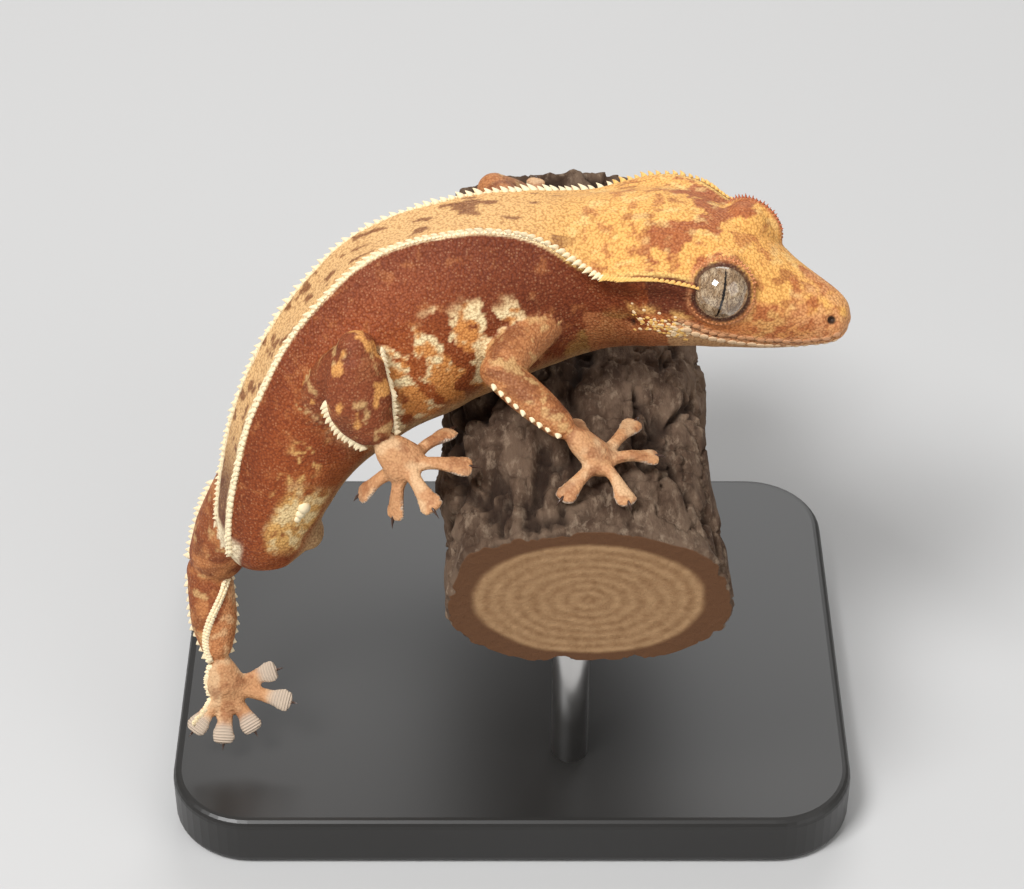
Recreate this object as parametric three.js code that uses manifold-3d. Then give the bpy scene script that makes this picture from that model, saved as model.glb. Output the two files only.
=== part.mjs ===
// A crested gecko without its tail, life size, draped over a short cut length of cork bark branch
// on a plain stand. Millimetres, +Z up. The origin is the centre of the underside of the stand's base.
// The gecko looks towards +X.
import * as THREE from "three";
import { LoftGeometry } from "three/addons/geometries/LoftGeometry.js";
import { mergeVertices } from "three/addons/utils/BufferGeometryUtils.js";
import Module from "manifold-3d";

const wasm = await Module();
wasm.setup();

const point = (x, y, z) => new THREE.Vector3(x, y, z);
const UP = point(0, 0, 1);

// Driving dimensions
const GAP = 0.3; // left between pieces that meet
const BASE = { long: 94, deep: 72, thick: 8, corner: 11, bevel: 1.2 };
const ROD = { radius: 2.5, sunk: 4, play: 0.1, x: 8, places: [-22, 22] };
const PERCH = { x: 8, z: 50.6, halfWide: 19, halfHigh: 12, from: -37, to: 42, slant: 0.04, square: 2.5 };
const EYE = { radius: 3.7, behindSnout: 15.9, aside: 6.9, above: 4.5, ahead: 0.26, lashes: 8 };
// The rim of the lids round each eye, the brow over it and the socket behind it: how thick, how far out or in,
// and how far up
const LIDS = {
  rim: 0.7,
  rimOut: 0.75,
  play: 0.15,
  brow: 3.4,
  browUp: 1.5,
  browIn: 1.9,
  socket: 4.4,
  socketIn: 1.2,
};
const EYE_TILT = { left: 0.12, right: 0.45 }; // how far each eye looks up, against how far it looks aside

// The body from the snout to the stub of the tail: the places of its core line, half its width, its height
// over and under that line, the ridge along each side of the back (how far it stands out, and its angle from
// the middle of the back), and how far the back is rolled to the gecko's left.
const BODY = [
  { at: [43.0, -10.7, 74.6], wide: 1.9, over: 1.7, under: 1.6, ridge: 0.0, angle: 60, roll: 0 },
  { at: [41.3, -10.3, 74.7], wide: 3.4, over: 2.8, under: 2.9, ridge: 0.0, angle: 60, roll: 0 },
  { at: [37.9, -9.3, 75.2], wide: 4.9, over: 4.0, under: 4.6, ridge: 0.1, angle: 60, roll: 0 },
  { at: [33.6, -7.9, 75.8], wide: 6.7, over: 5.3, under: 6.1, ridge: 0.3, angle: 60, roll: 0 },
  { at: [28.7, -6.0, 76.6], wide: 8.7, over: 7.1, under: 7.7, ridge: 0.6, angle: 58, roll: 0 },
  { at: [23.8, -4.1, 77.2], wide: 10.2, over: 8.3, under: 9.0, ridge: 1.6, angle: 58, roll: 0 },
  { at: [18.8, -2.3, 77.0], wide: 11.0, over: 9.2, under: 9.6, ridge: 2.7, angle: 60, roll: 0 },
  { at: [13.4, -1.4, 75.9], wide: 10.0, over: 9.6, under: 9.7, ridge: 1.8, angle: 59, roll: 0 },
  { at: [8.5, -1.4, 74.9], wide: 9.3, over: 10.6, under: 10.2, ridge: 0.9, angle: 46, roll: 0 },
  { at: [3.6, -2.0, 74.2], wide: 9.9, over: 11.5, under: 10.8, ridge: 0.7, angle: 30, roll: 2 },
  { at: [-3.9, -3.6, 73.2], wide: 11.0, over: 12.6, under: 12.0, ridge: 0.7, angle: 21, roll: 7 },
  { at: [-13.0, -6.2, 70.5], wide: 11.3, over: 13.1, under: 12.4, ridge: 0.7, angle: 18, roll: 13 },
  { at: [-20.9, -9.4, 65.7], wide: 10.2, over: 11.3, under: 11.0, ridge: 0.6, angle: 18, roll: 14 },
  { at: [-26.9, -12.4, 58.8], wide: 8.6, over: 9.2, under: 8.8, ridge: 0.5, angle: 19, roll: 12 },
  { at: [-30.8, -14.5, 51.0], wide: 7.2, over: 7.3, under: 7.4, ridge: 0.4, angle: 21, roll: 10 },
  { at: [-33.5, -15.9, 43.8], wide: 6.1, over: 5.6, under: 6.8, ridge: 0.3, angle: 24, roll: 8 },
  { at: [-35.6, -17.0, 38.6], wide: 3.9, over: 3.2, under: 3.9, ridge: 0.2, angle: 26, roll: 6 },
];
const BODY_SIDES = 26;
const RINGS_PER_STATION = 3;
const ROUNDED = 0.035; // the share of the body's length over which each end is rounded off
const RIDGE_WIDTH = 0.17; // how wide the ridge is, as an angle
const SQUARED = 0.92; // under 1, a section fuller than an ellipse
// The head's openings, measured behind the snout, to the side and above its core line
const MOUTH = [
  [-2, -0.4],
  [0, -0.4],
  [1.5, -1.2],
  [4.7, -2.1],
  [10.8, -2.1],
  [15.5, -1.6],
  [19, -0.4],
  [21.3, 0],
];
const JAW_HINGE = [24.0, -14];
const NOSTRIL = { behind: 1.9, aside: 3.0, above: 1.6, radius: 0.65 };
const EAR = { behind: 25.6, aside: 10.4, above: -1.4, radius: 0.9 };
// Spines of the crest: the station they stand at, how long they are there and how far apart
const CREST = [
  { at: 4.5, long: 0.7, apart: 1.9 },
  { at: 6, long: 1.1, apart: 1.9 },
  { at: 8.5, long: 1.2, apart: 2.0 },
  { at: 10, long: 0.9, apart: 2.2 },
  { at: 13, long: 0.8, apart: 2.3 },
  { at: 15.1, long: 0.6, apart: 2.2 },
];
// Where the body is parted, counted in stations from the snout
const PARTED_AT = { neck: 7.2, chest: 8.7, loin: 11.2, rump: 13.5, tail: 15.35 };

// Limbs: joints, the way the back of the paw faces (and the flat of the leg, where that is another), and the
// tips of the toes. Fringes: the length they stand on, the side, from where to where, how many and how long.
const RIGHT_ARM = {
  joints: [
    point(4.9, -7.0, 74.3),
    point(-1.8, -18.5, 72.6),
    point(7.5, -24.7, 67.4),
    point(11.2, -25.9, 64.2),
  ],
  facing: point(0.1, -0.1, 1),
  tips: [
    point(7.5, -17.2, 63.6),
    point(15.9, -17.4, 63.6),
    point(18.6, -24.4, 63.4),
    point(14.5, -33.0, 62.8),
    point(6.0, -32.2, 62.8),
  ],
  fringes: [
    ["lower", 1, 0.15, 0.85, 5, 0.5],
  ],
};
const LEFT_ARM = {
  joints: [
    point(2.9, 5.3, 74.4),
    point(-2.4, 17.4, 75.2),
    point(2.2, 26.3, 67.6),
    point(3.7, 29.4, 64.2),
  ],
  facing: point(0.1, 0.1, 1),
  tips: [
    point(10.6, 26.6, 63.6),
    point(10.0, 34.2, 63.4),
    point(3.4, 37.4, 63.2),
    point(-3.0, 34.6, 63.2),
    point(-4.2, 28.0, 63.2),
  ],
  fringes: [
    ["lower", -1, 0.15, 0.85, 5, 0.5],
  ],
};
const RIGHT_LEG = {
  joints: [
    point(-28.2, -15.4, 56.4),
    point(-19.4, -18.6, 76.0),
    point(-16.6, -22.8, 64.8),
    point(-13.4, -24.2, 62.2),
  ],
  facing: point(-0.45, -0.2, 0.87),
  flat: point(0.2, -1, 0.1),
  tips: [
    point(-7.6, -17.6, 62.2),
    point(-4.8, -24.6, 61.8),
    point(-9.6, -30.4, 59.4),
    point(-15.0, -27.8, 55.6),
    point(-19.6, -24.4, 56.6),
  ],
  fringes: [
    ["upper", 1, 0.1, 0.6, 6, 0.9],
    ["lower", 1, 0.5, 0.95, 5, 0.9],
    ["lower", -1, 0.1, 0.95, 8, 0.7],
  ],
};
const LEFT_LEG = {
  joints: [
    point(-33.8, -11.0, 50.0),
    point(-41.2, -13.2, 33.6),
    point(-40.2, -19.0, 22.6),
    point(-39.2, -20.4, 18.8),
  ],
  facing: point(0, 0.77, -0.64),
  tips: [
    point(-32.2, -19.0, 20.6),
    point(-30.2, -21.8, 17.0),
    point(-35.4, -23.8, 13.2),
    point(-39.8, -25.0, 12.0),
    point(-44.0, -24.2, 13.6),
  ],
  fringes: [
    ["upper", -1, 0.3, 0.9, 8, 0.8],
    ["lower", -1, 0.15, 0.9, 6, 0.7],
  ],
};
// Half the width, then half the depth, at the root, middle and end of each length of a limb
const ARM_SIZES = {
  upper: [[3.6, 3.2, 2.5], [3.6, 3.0, 2.4]],
  lower: [[2.4, 2.5, 1.5], [2.3, 2.2, 1.4]],
  palm: 2.5,
  toe: 1.15,
};
const FOLDED_LEG_SIZES = {
  upper: [[4.6, 4.4, 2.6], [4.4, 3.2, 2.4]],
  lower: [[3.2, 4.2, 2.3], [2.9, 2.8, 1.8]],
  palm: 2.9,
  toe: 1.3,
  bow: [-1.1, -0.8, -0.4],
};
const LEG_SIZES = {
  upper: [[4.6, 4.8, 3.3], [4.8, 4.4, 3.2]],
  lower: [[3.1, 3.2, 1.7], [3.0, 2.8, 1.6]],
  palm: 2.8,
  toe: 1.25,
};

const MATERIALS = {
  hide: new THREE.MeshStandardMaterial({ color: 0x8a4a24, roughness: 0.7, metalness: 0 }),
  crown: new THREE.MeshStandardMaterial({ color: 0xd9a055, roughness: 0.7, metalness: 0 }),
  eye: new THREE.MeshStandardMaterial({ color: 0x8d8078, roughness: 0.15, metalness: 0 }),
  bark: new THREE.MeshStandardMaterial({ color: 0x5b4a3d, roughness: 0.95, metalness: 0 }),
  stand: new THREE.MeshStandardMaterial({ color: 0x2c2a28, roughness: 0.5, metalness: 0 }),
  rod: new THREE.MeshStandardMaterial({ color: 0x9a9a98, roughness: 0.3, metalness: 1 }),
};

// Solids and meshes
function solid(geometry) {
  const plain = new THREE.BufferGeometry();
  plain.setAttribute("position", geometry.attributes.position);
  if (geometry.index) plain.setIndex(geometry.index);
  const merged = mergeVertices(plain, 1e-4);
  const mesh = new wasm.Mesh({
    numProp: 3,
    vertProperties: merged.attributes.position.array,
    triVerts: new Uint32Array(merged.index.array),
  });
  return new wasm.Manifold(mesh);
}

function largest(made) {
  return made.decompose().sort((a, b) => b.volume() - a.volume())[0];
}

function meshOf(made, name, material) {
  const data = largest(made).getMesh();
  const geometry = new THREE.BufferGeometry();
  geometry.setAttribute("position", new THREE.BufferAttribute(data.vertProperties, 3));
  geometry.setIndex(new THREE.BufferAttribute(data.triVerts, 1));
  geometry.computeVertexNormals();
  const mesh = new THREE.Mesh(geometry, material);
  mesh.name = name;
  return mesh;
}

// The trunk's frame at a place along it: where it is, which way it runs, and its left and its back
const bodyLine = new THREE.CatmullRomCurve3(BODY.map((s) => point(...s.at)), false, "centripetal");
const sizes3 = BODY.map((s) => point(s.wide, s.over, s.under));
const ridges3 = BODY.map((s) => point(s.ridge, s.angle, s.roll));
const bodySize = new THREE.CatmullRomCurve3(sizes3, false, "centripetal");
const bodyRidge = new THREE.CatmullRomCurve3(ridges3, false, "centripetal");

function bodyFrame(t) {
  const at = bodyLine.getPoint(t);
  const ahead = bodyLine.getTangent(t).negate();
  const left = UP.clone().cross(ahead).normalize();
  const roll = THREE.MathUtils.degToRad(bodyRidge.getPoint(t).z);
  left.applyAxisAngle(ahead, -roll);
  const back = ahead.clone().cross(left);
  return { at, ahead, left, back };
}

// A point of the skin at an angle from the middle of the back, positive on the gecko's left
function skinPoint(t, angle, grow = 0) {
  const { at, ahead, left, back } = bodyFrame(t);
  const size = bodySize.getPoint(t);
  const ridge = bodyRidge.getPoint(t);
  const fromRidge = Math.abs(angle) - THREE.MathUtils.degToRad(ridge.y);
  const bulge = ridge.x * Math.exp(-((fromRidge / RIDGE_WIDTH) ** 2));
  const height = Math.cos(angle) > 0 ? size.y : size.z;
  const end = Math.min(1, Math.min(t, 1 - t) / ROUNDED);
  const full = Math.max(0.3, Math.sqrt(1 - (1 - end) ** 2));
  const squared = (x) => Math.sign(x) * Math.abs(x) ** SQUARED * full;
  const across = squared(Math.sin(angle)) * (size.x + bulge + grow);
  const up = squared(Math.cos(angle)) * (height + bulge + grow);
  const past = grow * (1 - end) * (t < 0.5 ? 1 : -1);
  return at.clone().addScaledVector(left, across).addScaledVector(back, up).addScaledVector(ahead, past);
}

// Angles round the trunk, with one always on the ridge at each side
function sectionAngles(t) {
  const ridge = THREE.MathUtils.degToRad(bodyRidge.getPoint(t).y);
  const half = BODY_SIDES / 2;
  const toRidge = 3;
  const angles = [];
  for (let i = 0; i <= half; i++) {
    const below = ridge + ((Math.PI - ridge) * (i - toRidge)) / (half - toRidge);
    angles.push(i <= toRidge ? (ridge * i) / toRidge : below);
  }
  const other = angles.slice(1, half).reverse().map((a) => -a);
  return [...angles, ...other];
}

function bodyForm(grow) {
  const rings = (BODY.length - 1) * RINGS_PER_STATION;
  const sections = [];
  const ends = [0, 0.12 * ROUNDED, 0.45 * ROUNDED];
  const shares = Array.from({ length: rings + 1 }, (_, i) => i / rings).filter((t) => t > 0 && t < 1);
  for (const t of [...ends, ...shares, ...ends.map((e) => 1 - e).reverse()]) {
    sections.push(sectionAngles(t).map((a) => skinPoint(t, a, grow)));
  }
  return solid(new LoftGeometry(sections, { capStart: true, capEnd: true }));
}

// A limb's flesh along a curve: half widths and half depths at even stations, rounded at both ends
function limbForm(path, wide, deep, flat, sides = 10, steps = 8, round = 0.12) {
  const line = new THREE.CatmullRomCurve3(path, false, "centripetal");
  const size = new THREE.CatmullRomCurve3(wide.map((w, i) => point(w, deep[i], 0)), false, "centripetal");
  const sections = [];
  for (let i = 0; i <= steps; i++) {
    const t = (1 - Math.cos((Math.PI * i) / steps)) / 2;
    const end = Math.min(1, Math.min(t, 1 - t) / round);
    const swell = Math.max(0.25, Math.sqrt(1 - (1 - end) ** 2));
    const along = line.getTangent(t);
    const across = along.clone().cross(flat).normalize();
    const out = across.clone().cross(along);
    const s = size.getPoint(t);
    const ring = [];
    for (let k = 0; k < sides; k++) {
      const a = (2 * Math.PI * k) / sides;
      ring.push(
        line
          .getPoint(t)
          .addScaledVector(across, s.x * swell * Math.cos(a))
          .addScaledVector(out, s.y * swell * Math.sin(a)),
      );
    }
    sections.push(ring.reverse());
  }
  return solid(new LoftGeometry(sections, { capStart: true, capEnd: true }));
}

// A body cut by a plane through a place, keeping the side the normal points to, with half the gap taken off
function keepSide(made, place, normal) {
  const n = normal.clone().normalize();
  return made.trimByPlane([n.x, n.y, n.z], n.dot(place) + GAP / 2);
}

function ball(place, radius, around = 16, down = 10) {
  const geometry = new THREE.SphereGeometry(radius, around, down);
  geometry.translate(place.x, place.y, place.z);
  return solid(geometry);
}

// A tapered spine with its root sunk well into the skin at a place, pointing out and leaning
function spine(place, out, long, wide) {
  const root = 0.7;
  const facing = out.clone().normalize();
  const geometry = new THREE.ConeGeometry(wide, long + root, 5);
  geometry.rotateX(Math.PI / 2);
  geometry.translate(0, 0, (long - root) / 2);
  geometry.applyQuaternion(new THREE.Quaternion().setFromUnitVectors(UP, facing));
  geometry.translate(place.x, place.y, place.z);
  return solid(geometry);
}

function valueAt(table, key, at) {
  const next = Math.min(Math.max(table.findIndex((row) => row.at >= at), 1), table.length - 1);
  const [a, b] = [table[next - 1], table[next]];
  return a[key] + ((b[key] - a[key]) * (at - a.at)) / (b.at - a.at);
}

let seed = 7;
function vary(amount) {
  seed = (seed * 16807) % 2147483647;
  return 1 + amount * ((2 * seed) / 2147483647 - 1);
}

// The two rows of spines along the ridges, from behind the eyes to the stub of the tail
function crestSpines() {
  const made = [];
  const last = BODY.length - 1;
  for (const side of [1, -1]) {
    let at = CREST[0].at;
    while (at < CREST[CREST.length - 1].at) {
      const t = at / last;
      const { ahead, left, back } = bodyFrame(t);
      const angle = side * THREE.MathUtils.degToRad(bodyRidge.getPoint(t).y);
      const out = left
        .clone()
        .multiplyScalar(Math.sin(angle * 1.1))
        .addScaledVector(back, Math.cos(angle * 1.1))
        .addScaledVector(ahead, -0.45);
      const long = valueAt(CREST, "long", at) * vary(0.2);
      made.push(spine(skinPoint(t, angle), out, long, 0.45 + 0.2 * long));
      const step = bodyLine.getPoint(Math.min(1, t + 0.01)).distanceTo(bodyLine.getPoint(t)) / (0.01 * last);
      at += (valueAt(CREST, "apart", at) * vary(0.12)) / step;
    }
  }
  return made;
}

// A row of short flat spines along one edge of a limb
function fringe(path, wide, facing, side, from, to, count, long) {
  const line = new THREE.CatmullRomCurve3(path, false, "centripetal");
  const size = new THREE.CatmullRomCurve3(wide.map((w) => point(w, 0, 0)), false, "centripetal");
  const made = [];
  for (let i = 0; i < count; i++) {
    const t = from + ((to - from) * i) / (count - 1);
    const along = line.getTangent(t);
    const across = along.clone().cross(facing).normalize().multiplyScalar(side);
    const place = line.getPoint(t).addScaledVector(across, size.getPoint(t).x * 0.92);
    made.push(spine(place, across.clone().addScaledVector(along, 0.4), long * vary(0.2), 0.5));
  }
  return made;
}

// The perch: a short cut length of cork bark, flattened, lumpy all round and sawn square at both ends
function perchSection(y, grow) {
  const sides = 24;
  const ring = [];
  for (let k = 0; k < sides; k++) {
    const a = (2 * Math.PI * k) / sides;
    const lump = 0.5 * Math.sin(3 * a + 0.11 * y) + 0.35 * Math.sin(7 * a - 0.23 * y + 1.3) - 0.6;
    const power = 2 / PERCH.square;
    const x = Math.sign(Math.cos(a)) * Math.abs(Math.cos(a)) ** power * (PERCH.halfWide + lump + grow);
    const z = Math.sign(Math.sin(a)) * Math.abs(Math.sin(a)) ** power * (PERCH.halfHigh + 0.6 * lump + grow);
    ring.push(point(PERCH.x + x - PERCH.slant * y, y, PERCH.z + z));
  }
  return ring;
}

function perchForm(grow) {
  const steps = 12;
  const sections = [];
  for (let i = 0; i <= steps; i++) {
    const share = i / steps;
    const y = PERCH.from - grow + (PERCH.to - PERCH.from + 2 * grow) * share;
    sections.push(perchSection(y, grow).reverse());
  }
  return solid(new LoftGeometry(sections, { capStart: true, capEnd: true }));
}

// Head: its axis, its eyes and their rims
const snout = point(...BODY[0].at);
const crown = point(...BODY[6].at);
const headAhead = snout.clone().sub(crown).normalize();
const headLeft = UP.clone().cross(headAhead).normalize();
const headUp = headAhead.clone().cross(headLeft);

function headPoint(behind, aside, above) {
  return snout
    .clone()
    .addScaledVector(headAhead, -behind)
    .addScaledVector(headLeft, aside)
    .addScaledVector(headUp, above);
}

// Turns a form made along +Z so that it faces a way, and moves it
function placed(geometry, facing, place) {
  geometry.applyQuaternion(new THREE.Quaternion().setFromUnitVectors(UP, facing.clone().normalize()));
  geometry.translate(place.x, place.y, place.z);
  return solid(geometry);
}

function eyeSide(side) {
  const centre = headPoint(EYE.behindSnout, side * EYE.aside, EYE.above);
  const facing = headLeft
    .clone()
    .multiplyScalar(side)
    .addScaledVector(headUp, side > 0 ? EYE_TILT.left : EYE_TILT.right)
    .addScaledVector(headAhead, EYE.ahead)
    .normalize();
  const rimPlace = centre.clone().addScaledVector(facing, LIDS.rimOut);
  const rim = placed(new THREE.TorusGeometry(EYE.radius + LIDS.play, LIDS.rim, 6, 18), facing, rimPlace);
  const browPlace = centre.clone().addScaledVector(headUp, LIDS.browUp).addScaledVector(facing, -LIDS.browIn);
  const brow = ball(browPlace, LIDS.brow);
  const socket = ball(centre.clone().addScaledVector(facing, -LIDS.socketIn), LIDS.socket);
  const upright = headUp.clone().addScaledVector(facing, -headUp.dot(facing)).normalize();
  const lashes = [];
  for (let i = 0; i < EYE.lashes; i++) {
    const turn = THREE.MathUtils.degToRad(-62 + (124 * i) / (EYE.lashes - 1));
    const out = upright.clone().applyAxisAngle(facing, turn);
    const place = rimPlace.clone().addScaledVector(out, EYE.radius + 0.5);
    lashes.push(spine(place, out.addScaledVector(facing, 0.4), 0.6 * vary(0.25), 0.4));
  }
  return { centre, facing, rim, brow, socket, lashes };
}

// The part of the head under the line of the mouth and ahead of the hinge, as seen from the side
function jawRegion(inset) {
  const shape = new THREE.Shape();
  const line = MOUTH.map(([behind, above]) => new THREE.Vector2(behind, above - inset));
  shape.moveTo(line[0].x, line[0].y);
  shape.splineThru(line.slice(1));
  shape.lineTo(JAW_HINGE[0] - inset, JAW_HINGE[1]);
  shape.lineTo(line[0].x, JAW_HINGE[1]);
  const deep = 40;
  const geometry = new THREE.ExtrudeGeometry(shape, { depth: deep, bevelEnabled: false, curveSegments: 3 });
  geometry.translate(0, 0, -deep / 2);
  const turned = new THREE.Matrix4().makeBasis(headAhead.clone().negate(), headUp, headLeft);
  geometry.applyMatrix4(turned.setPosition(snout));
  return solid(geometry);
}

// Limbs parted at each joint across the bend, and at the trunk by a gap that follows its skin
function limbParts(limb, sizes, away) {
  const [root, bend, cuff, palm] = limb.joints;
  const middle = (a, b) => a.clone().lerp(b, 0.5);
  const calf = middle(bend, cuff).add(point(...(sizes.bow ?? [0, 0, 0])));
  const flat = limb.flat ?? limb.facing;
  const upper = limbForm([root, middle(root, bend), bend], ...sizes.upper, flat);
  const lower = limbForm([bend, calf, cuff], ...sizes.lower, flat);
  const knob = ball(bend, Math.min(sizes.upper[0][2], sizes.lower[0][0]) * 0.98, 12, 8);
  const paw = pawForm(limb, sizes);
  const across = (a, b, c) => b.clone().sub(a).normalize().add(c.clone().sub(b).normalize());
  const bendAcross = across(root, bend, cuff);
  const cuffAcross = across(bend, cuff, palm);
  const rows = limb.fringes.map(([part, side, from, to, count, long]) => {
    const path = part === "upper" ? [root, middle(root, bend), bend] : [bend, calf, cuff];
    return fringe(path, sizes[part][0], flat, side, from, to, count, long);
  });
  const whole = wasm.Manifold.union([upper, lower, knob, ...rows.flat()]);
  const nearer = keepSide(whole, bend, bendAcross.clone().negate());
  const farther = keepSide(whole, bend, bendAcross);
  const shank = keepSide(largest(farther).add(paw), cuff, cuffAcross.clone().negate());
  const hand = keepSide(lower.add(paw), cuff, cuffAcross);
  return [nearer, shank, hand].map((part) => largest(largest(part).subtract(away)));
}

// A paw: a rounded palm and five toes, each narrow at the root and spread into a flat pad before its tip
function pawForm(limb, sizes) {
  const [, , cuff, palm] = limb.joints;
  const start = cuff.clone().lerp(palm, -0.15);
  const end = cuff.clone().lerp(palm, 1.35);
  let made = limbForm([start, palm, end], [1.5, sizes.palm, 1.9], [1.4, 1.5, 1.1], limb.facing, 10, 6, 0.2);
  for (const tip of limb.tips) {
    const root = palm.clone().lerp(tip, 0.12);
    const knuckle = palm.clone().lerp(tip, 0.5).addScaledVector(limb.facing, 0.55);
    const wide = [0.9, 0.85, 1.0, 1.35, 1.1].map((w) => w * sizes.toe);
    const deep = [0.8, 0.75, 0.65, 0.6, 0.5];
    const pad = palm.clone().lerp(tip, 0.8).addScaledVector(limb.facing, 0.1);
    made = made.add(limbForm([root, knuckle, pad, tip], wide, deep, limb.facing, 7, 6, 0.1));
  }
  return made;
}

const trunk = bodyForm(0);
const trunkAway = bodyForm(GAP);
const perch = perchForm(0);
const perchAway = perchForm(GAP);
const spined = wasm.Manifold.union([trunk, ...crestSpines()]);

function parted(made, from, to) {
  let piece = made;
  const last = BODY.length - 1;
  if (from !== null) {
    const { at, ahead } = bodyFrame(from / last);
    piece = keepSide(piece, at, ahead.clone().negate());
  }
  if (to !== null) {
    const { at, ahead } = bodyFrame(to / last);
    piece = keepSide(piece, at, ahead);
  }
  return piece;
}

const group = new THREE.Group();

// The head, with the cups of its eyes, ears and nostrils, and its lower jaw parted along the mouth
const eyes = { eye_left: eyeSide(1), eye_right: eyeSide(-1) };
const eyeList = Object.values(eyes);
const added = eyeList.flatMap((eye) => [eye.rim, eye.brow, eye.socket, ...eye.lashes]);
const cups = eyeList.map((eye) => ball(eye.centre, EYE.radius + GAP));
for (const side of [1, -1]) {
  cups.push(ball(headPoint(NOSTRIL.behind, side * NOSTRIL.aside, NOSTRIL.above), NOSTRIL.radius, 8, 6));
  cups.push(ball(headPoint(EAR.behind, side * EAR.aside, EAR.above), EAR.radius, 10, 8));
}
const skull = parted(spined, null, PARTED_AT.neck);
const head = wasm.Manifold.union([skull, ...added]).subtract(wasm.Manifold.union(cups));
group.add(meshOf(head.subtract(jawRegion(0)), "head", MATERIALS.crown));
group.add(meshOf(head.intersect(jawRegion(GAP)), "lower_jaw", MATERIALS.crown));
for (const [name, eye] of Object.entries(eyes)) {
  group.add(meshOf(ball(eye.centre, EYE.radius), name, MATERIALS.eye));
}

// The neck, the trunk and the stub of the tail
const sections = [
  ["neck", PARTED_AT.neck, PARTED_AT.chest],
  ["torso_front", PARTED_AT.chest, PARTED_AT.loin],
  ["torso_rear", PARTED_AT.loin, PARTED_AT.rump],
  ["rump", PARTED_AT.rump, PARTED_AT.tail],
  ["tail_stub", PARTED_AT.tail, null],
];
for (const [name, from, to] of sections) {
  group.add(meshOf(parted(spined, from, to).subtract(perchAway), name, MATERIALS.hide));
}

const limbs = [
  [RIGHT_ARM, ARM_SIZES, ["upper_arm_right", "forearm_right", "forefoot_right"]],
  [LEFT_ARM, ARM_SIZES, ["upper_arm_left", "forearm_left", "forefoot_left"]],
  [RIGHT_LEG, FOLDED_LEG_SIZES, ["thigh_right", "shin_right", "hindfoot_right"]],
  [LEFT_LEG, LEG_SIZES, ["thigh_left", "shin_left", "hindfoot_left"]],
];
const away = trunkAway.add(perchAway);
for (const [limb, sizes, names] of limbs) {
  limbParts(limb, sizes, away).forEach((part, i) => group.add(meshOf(part, names[i], MATERIALS.hide)));
}

// Stand: a flat base with rounded corners and bevelled edges, and two rods let into the base and the perch
function standBase() {
  const { long, deep, corner, thick, bevel } = BASE;
  const shape = new THREE.Shape();
  const x = long / 2 - corner;
  const y = deep / 2 - corner;
  const r = corner - bevel;
  shape.absarc(x, y, r, 0, Math.PI / 2);
  shape.absarc(-x, y, r, Math.PI / 2, Math.PI);
  shape.absarc(-x, -y, r, Math.PI, 1.5 * Math.PI);
  shape.absarc(x, -y, r, 1.5 * Math.PI, 2 * Math.PI);
  const geometry = new THREE.ExtrudeGeometry(shape, {
    depth: thick - 2 * bevel,
    bevelThickness: bevel,
    bevelSize: bevel,
    bevelSegments: 1,
    curveSegments: 5,
  });
  geometry.translate(0, 0, bevel);
  return solid(geometry);
}

function upright(radius, x, y, from, to) {
  const geometry = new THREE.CylinderGeometry(radius, radius, to - from, 16);
  geometry.rotateX(Math.PI / 2);
  geometry.translate(x, y, (from + to) / 2);
  return solid(geometry);
}

const rodFoot = BASE.thick - ROD.sunk;
const rodTop = PERCH.z - PERCH.halfHigh + ROD.sunk;
let base = standBase();
let log = perch;
const rodNames = ["stand_rod_front", "stand_rod_rear"];
ROD.places.forEach((y, i) => {
  const hole = upright(ROD.radius + ROD.play, ROD.x, y, rodFoot, rodTop);
  base = base.subtract(hole);
  log = log.subtract(hole);
  group.add(meshOf(upright(ROD.radius, ROD.x, y, rodFoot + 0.02, rodTop - 0.02), rodNames[i], MATERIALS.rod));
});
group.add(meshOf(log, "perch_bark", MATERIALS.bark));
group.add(meshOf(base, "stand_base", MATERIALS.stand));

export default group;
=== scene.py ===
import math

import bmesh
import bpy
import numpy as np
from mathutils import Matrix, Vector
from mathutils.kdtree import KDTree


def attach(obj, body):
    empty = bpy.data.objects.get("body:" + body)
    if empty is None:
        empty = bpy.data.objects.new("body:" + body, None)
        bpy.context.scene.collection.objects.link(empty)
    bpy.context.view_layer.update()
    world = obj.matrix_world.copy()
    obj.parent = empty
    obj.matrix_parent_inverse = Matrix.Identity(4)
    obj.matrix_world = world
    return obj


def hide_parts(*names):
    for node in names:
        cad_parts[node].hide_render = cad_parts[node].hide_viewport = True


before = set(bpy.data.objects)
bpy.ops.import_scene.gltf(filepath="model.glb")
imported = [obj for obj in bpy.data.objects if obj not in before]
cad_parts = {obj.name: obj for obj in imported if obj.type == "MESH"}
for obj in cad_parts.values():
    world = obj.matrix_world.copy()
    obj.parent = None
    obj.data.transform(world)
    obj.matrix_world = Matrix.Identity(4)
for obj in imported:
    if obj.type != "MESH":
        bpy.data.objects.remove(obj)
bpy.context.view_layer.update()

# The gecko's flesh under one skin. The trunk is a body of soft muscle round one core line that runs from the
# snout over the neck and back to the stub of the tail; the lids' rims and brows, the vent's swelling and the
# four limbs with their toes grow out of it, and one unbroken skin covers them all.
MM = 0.001


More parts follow.
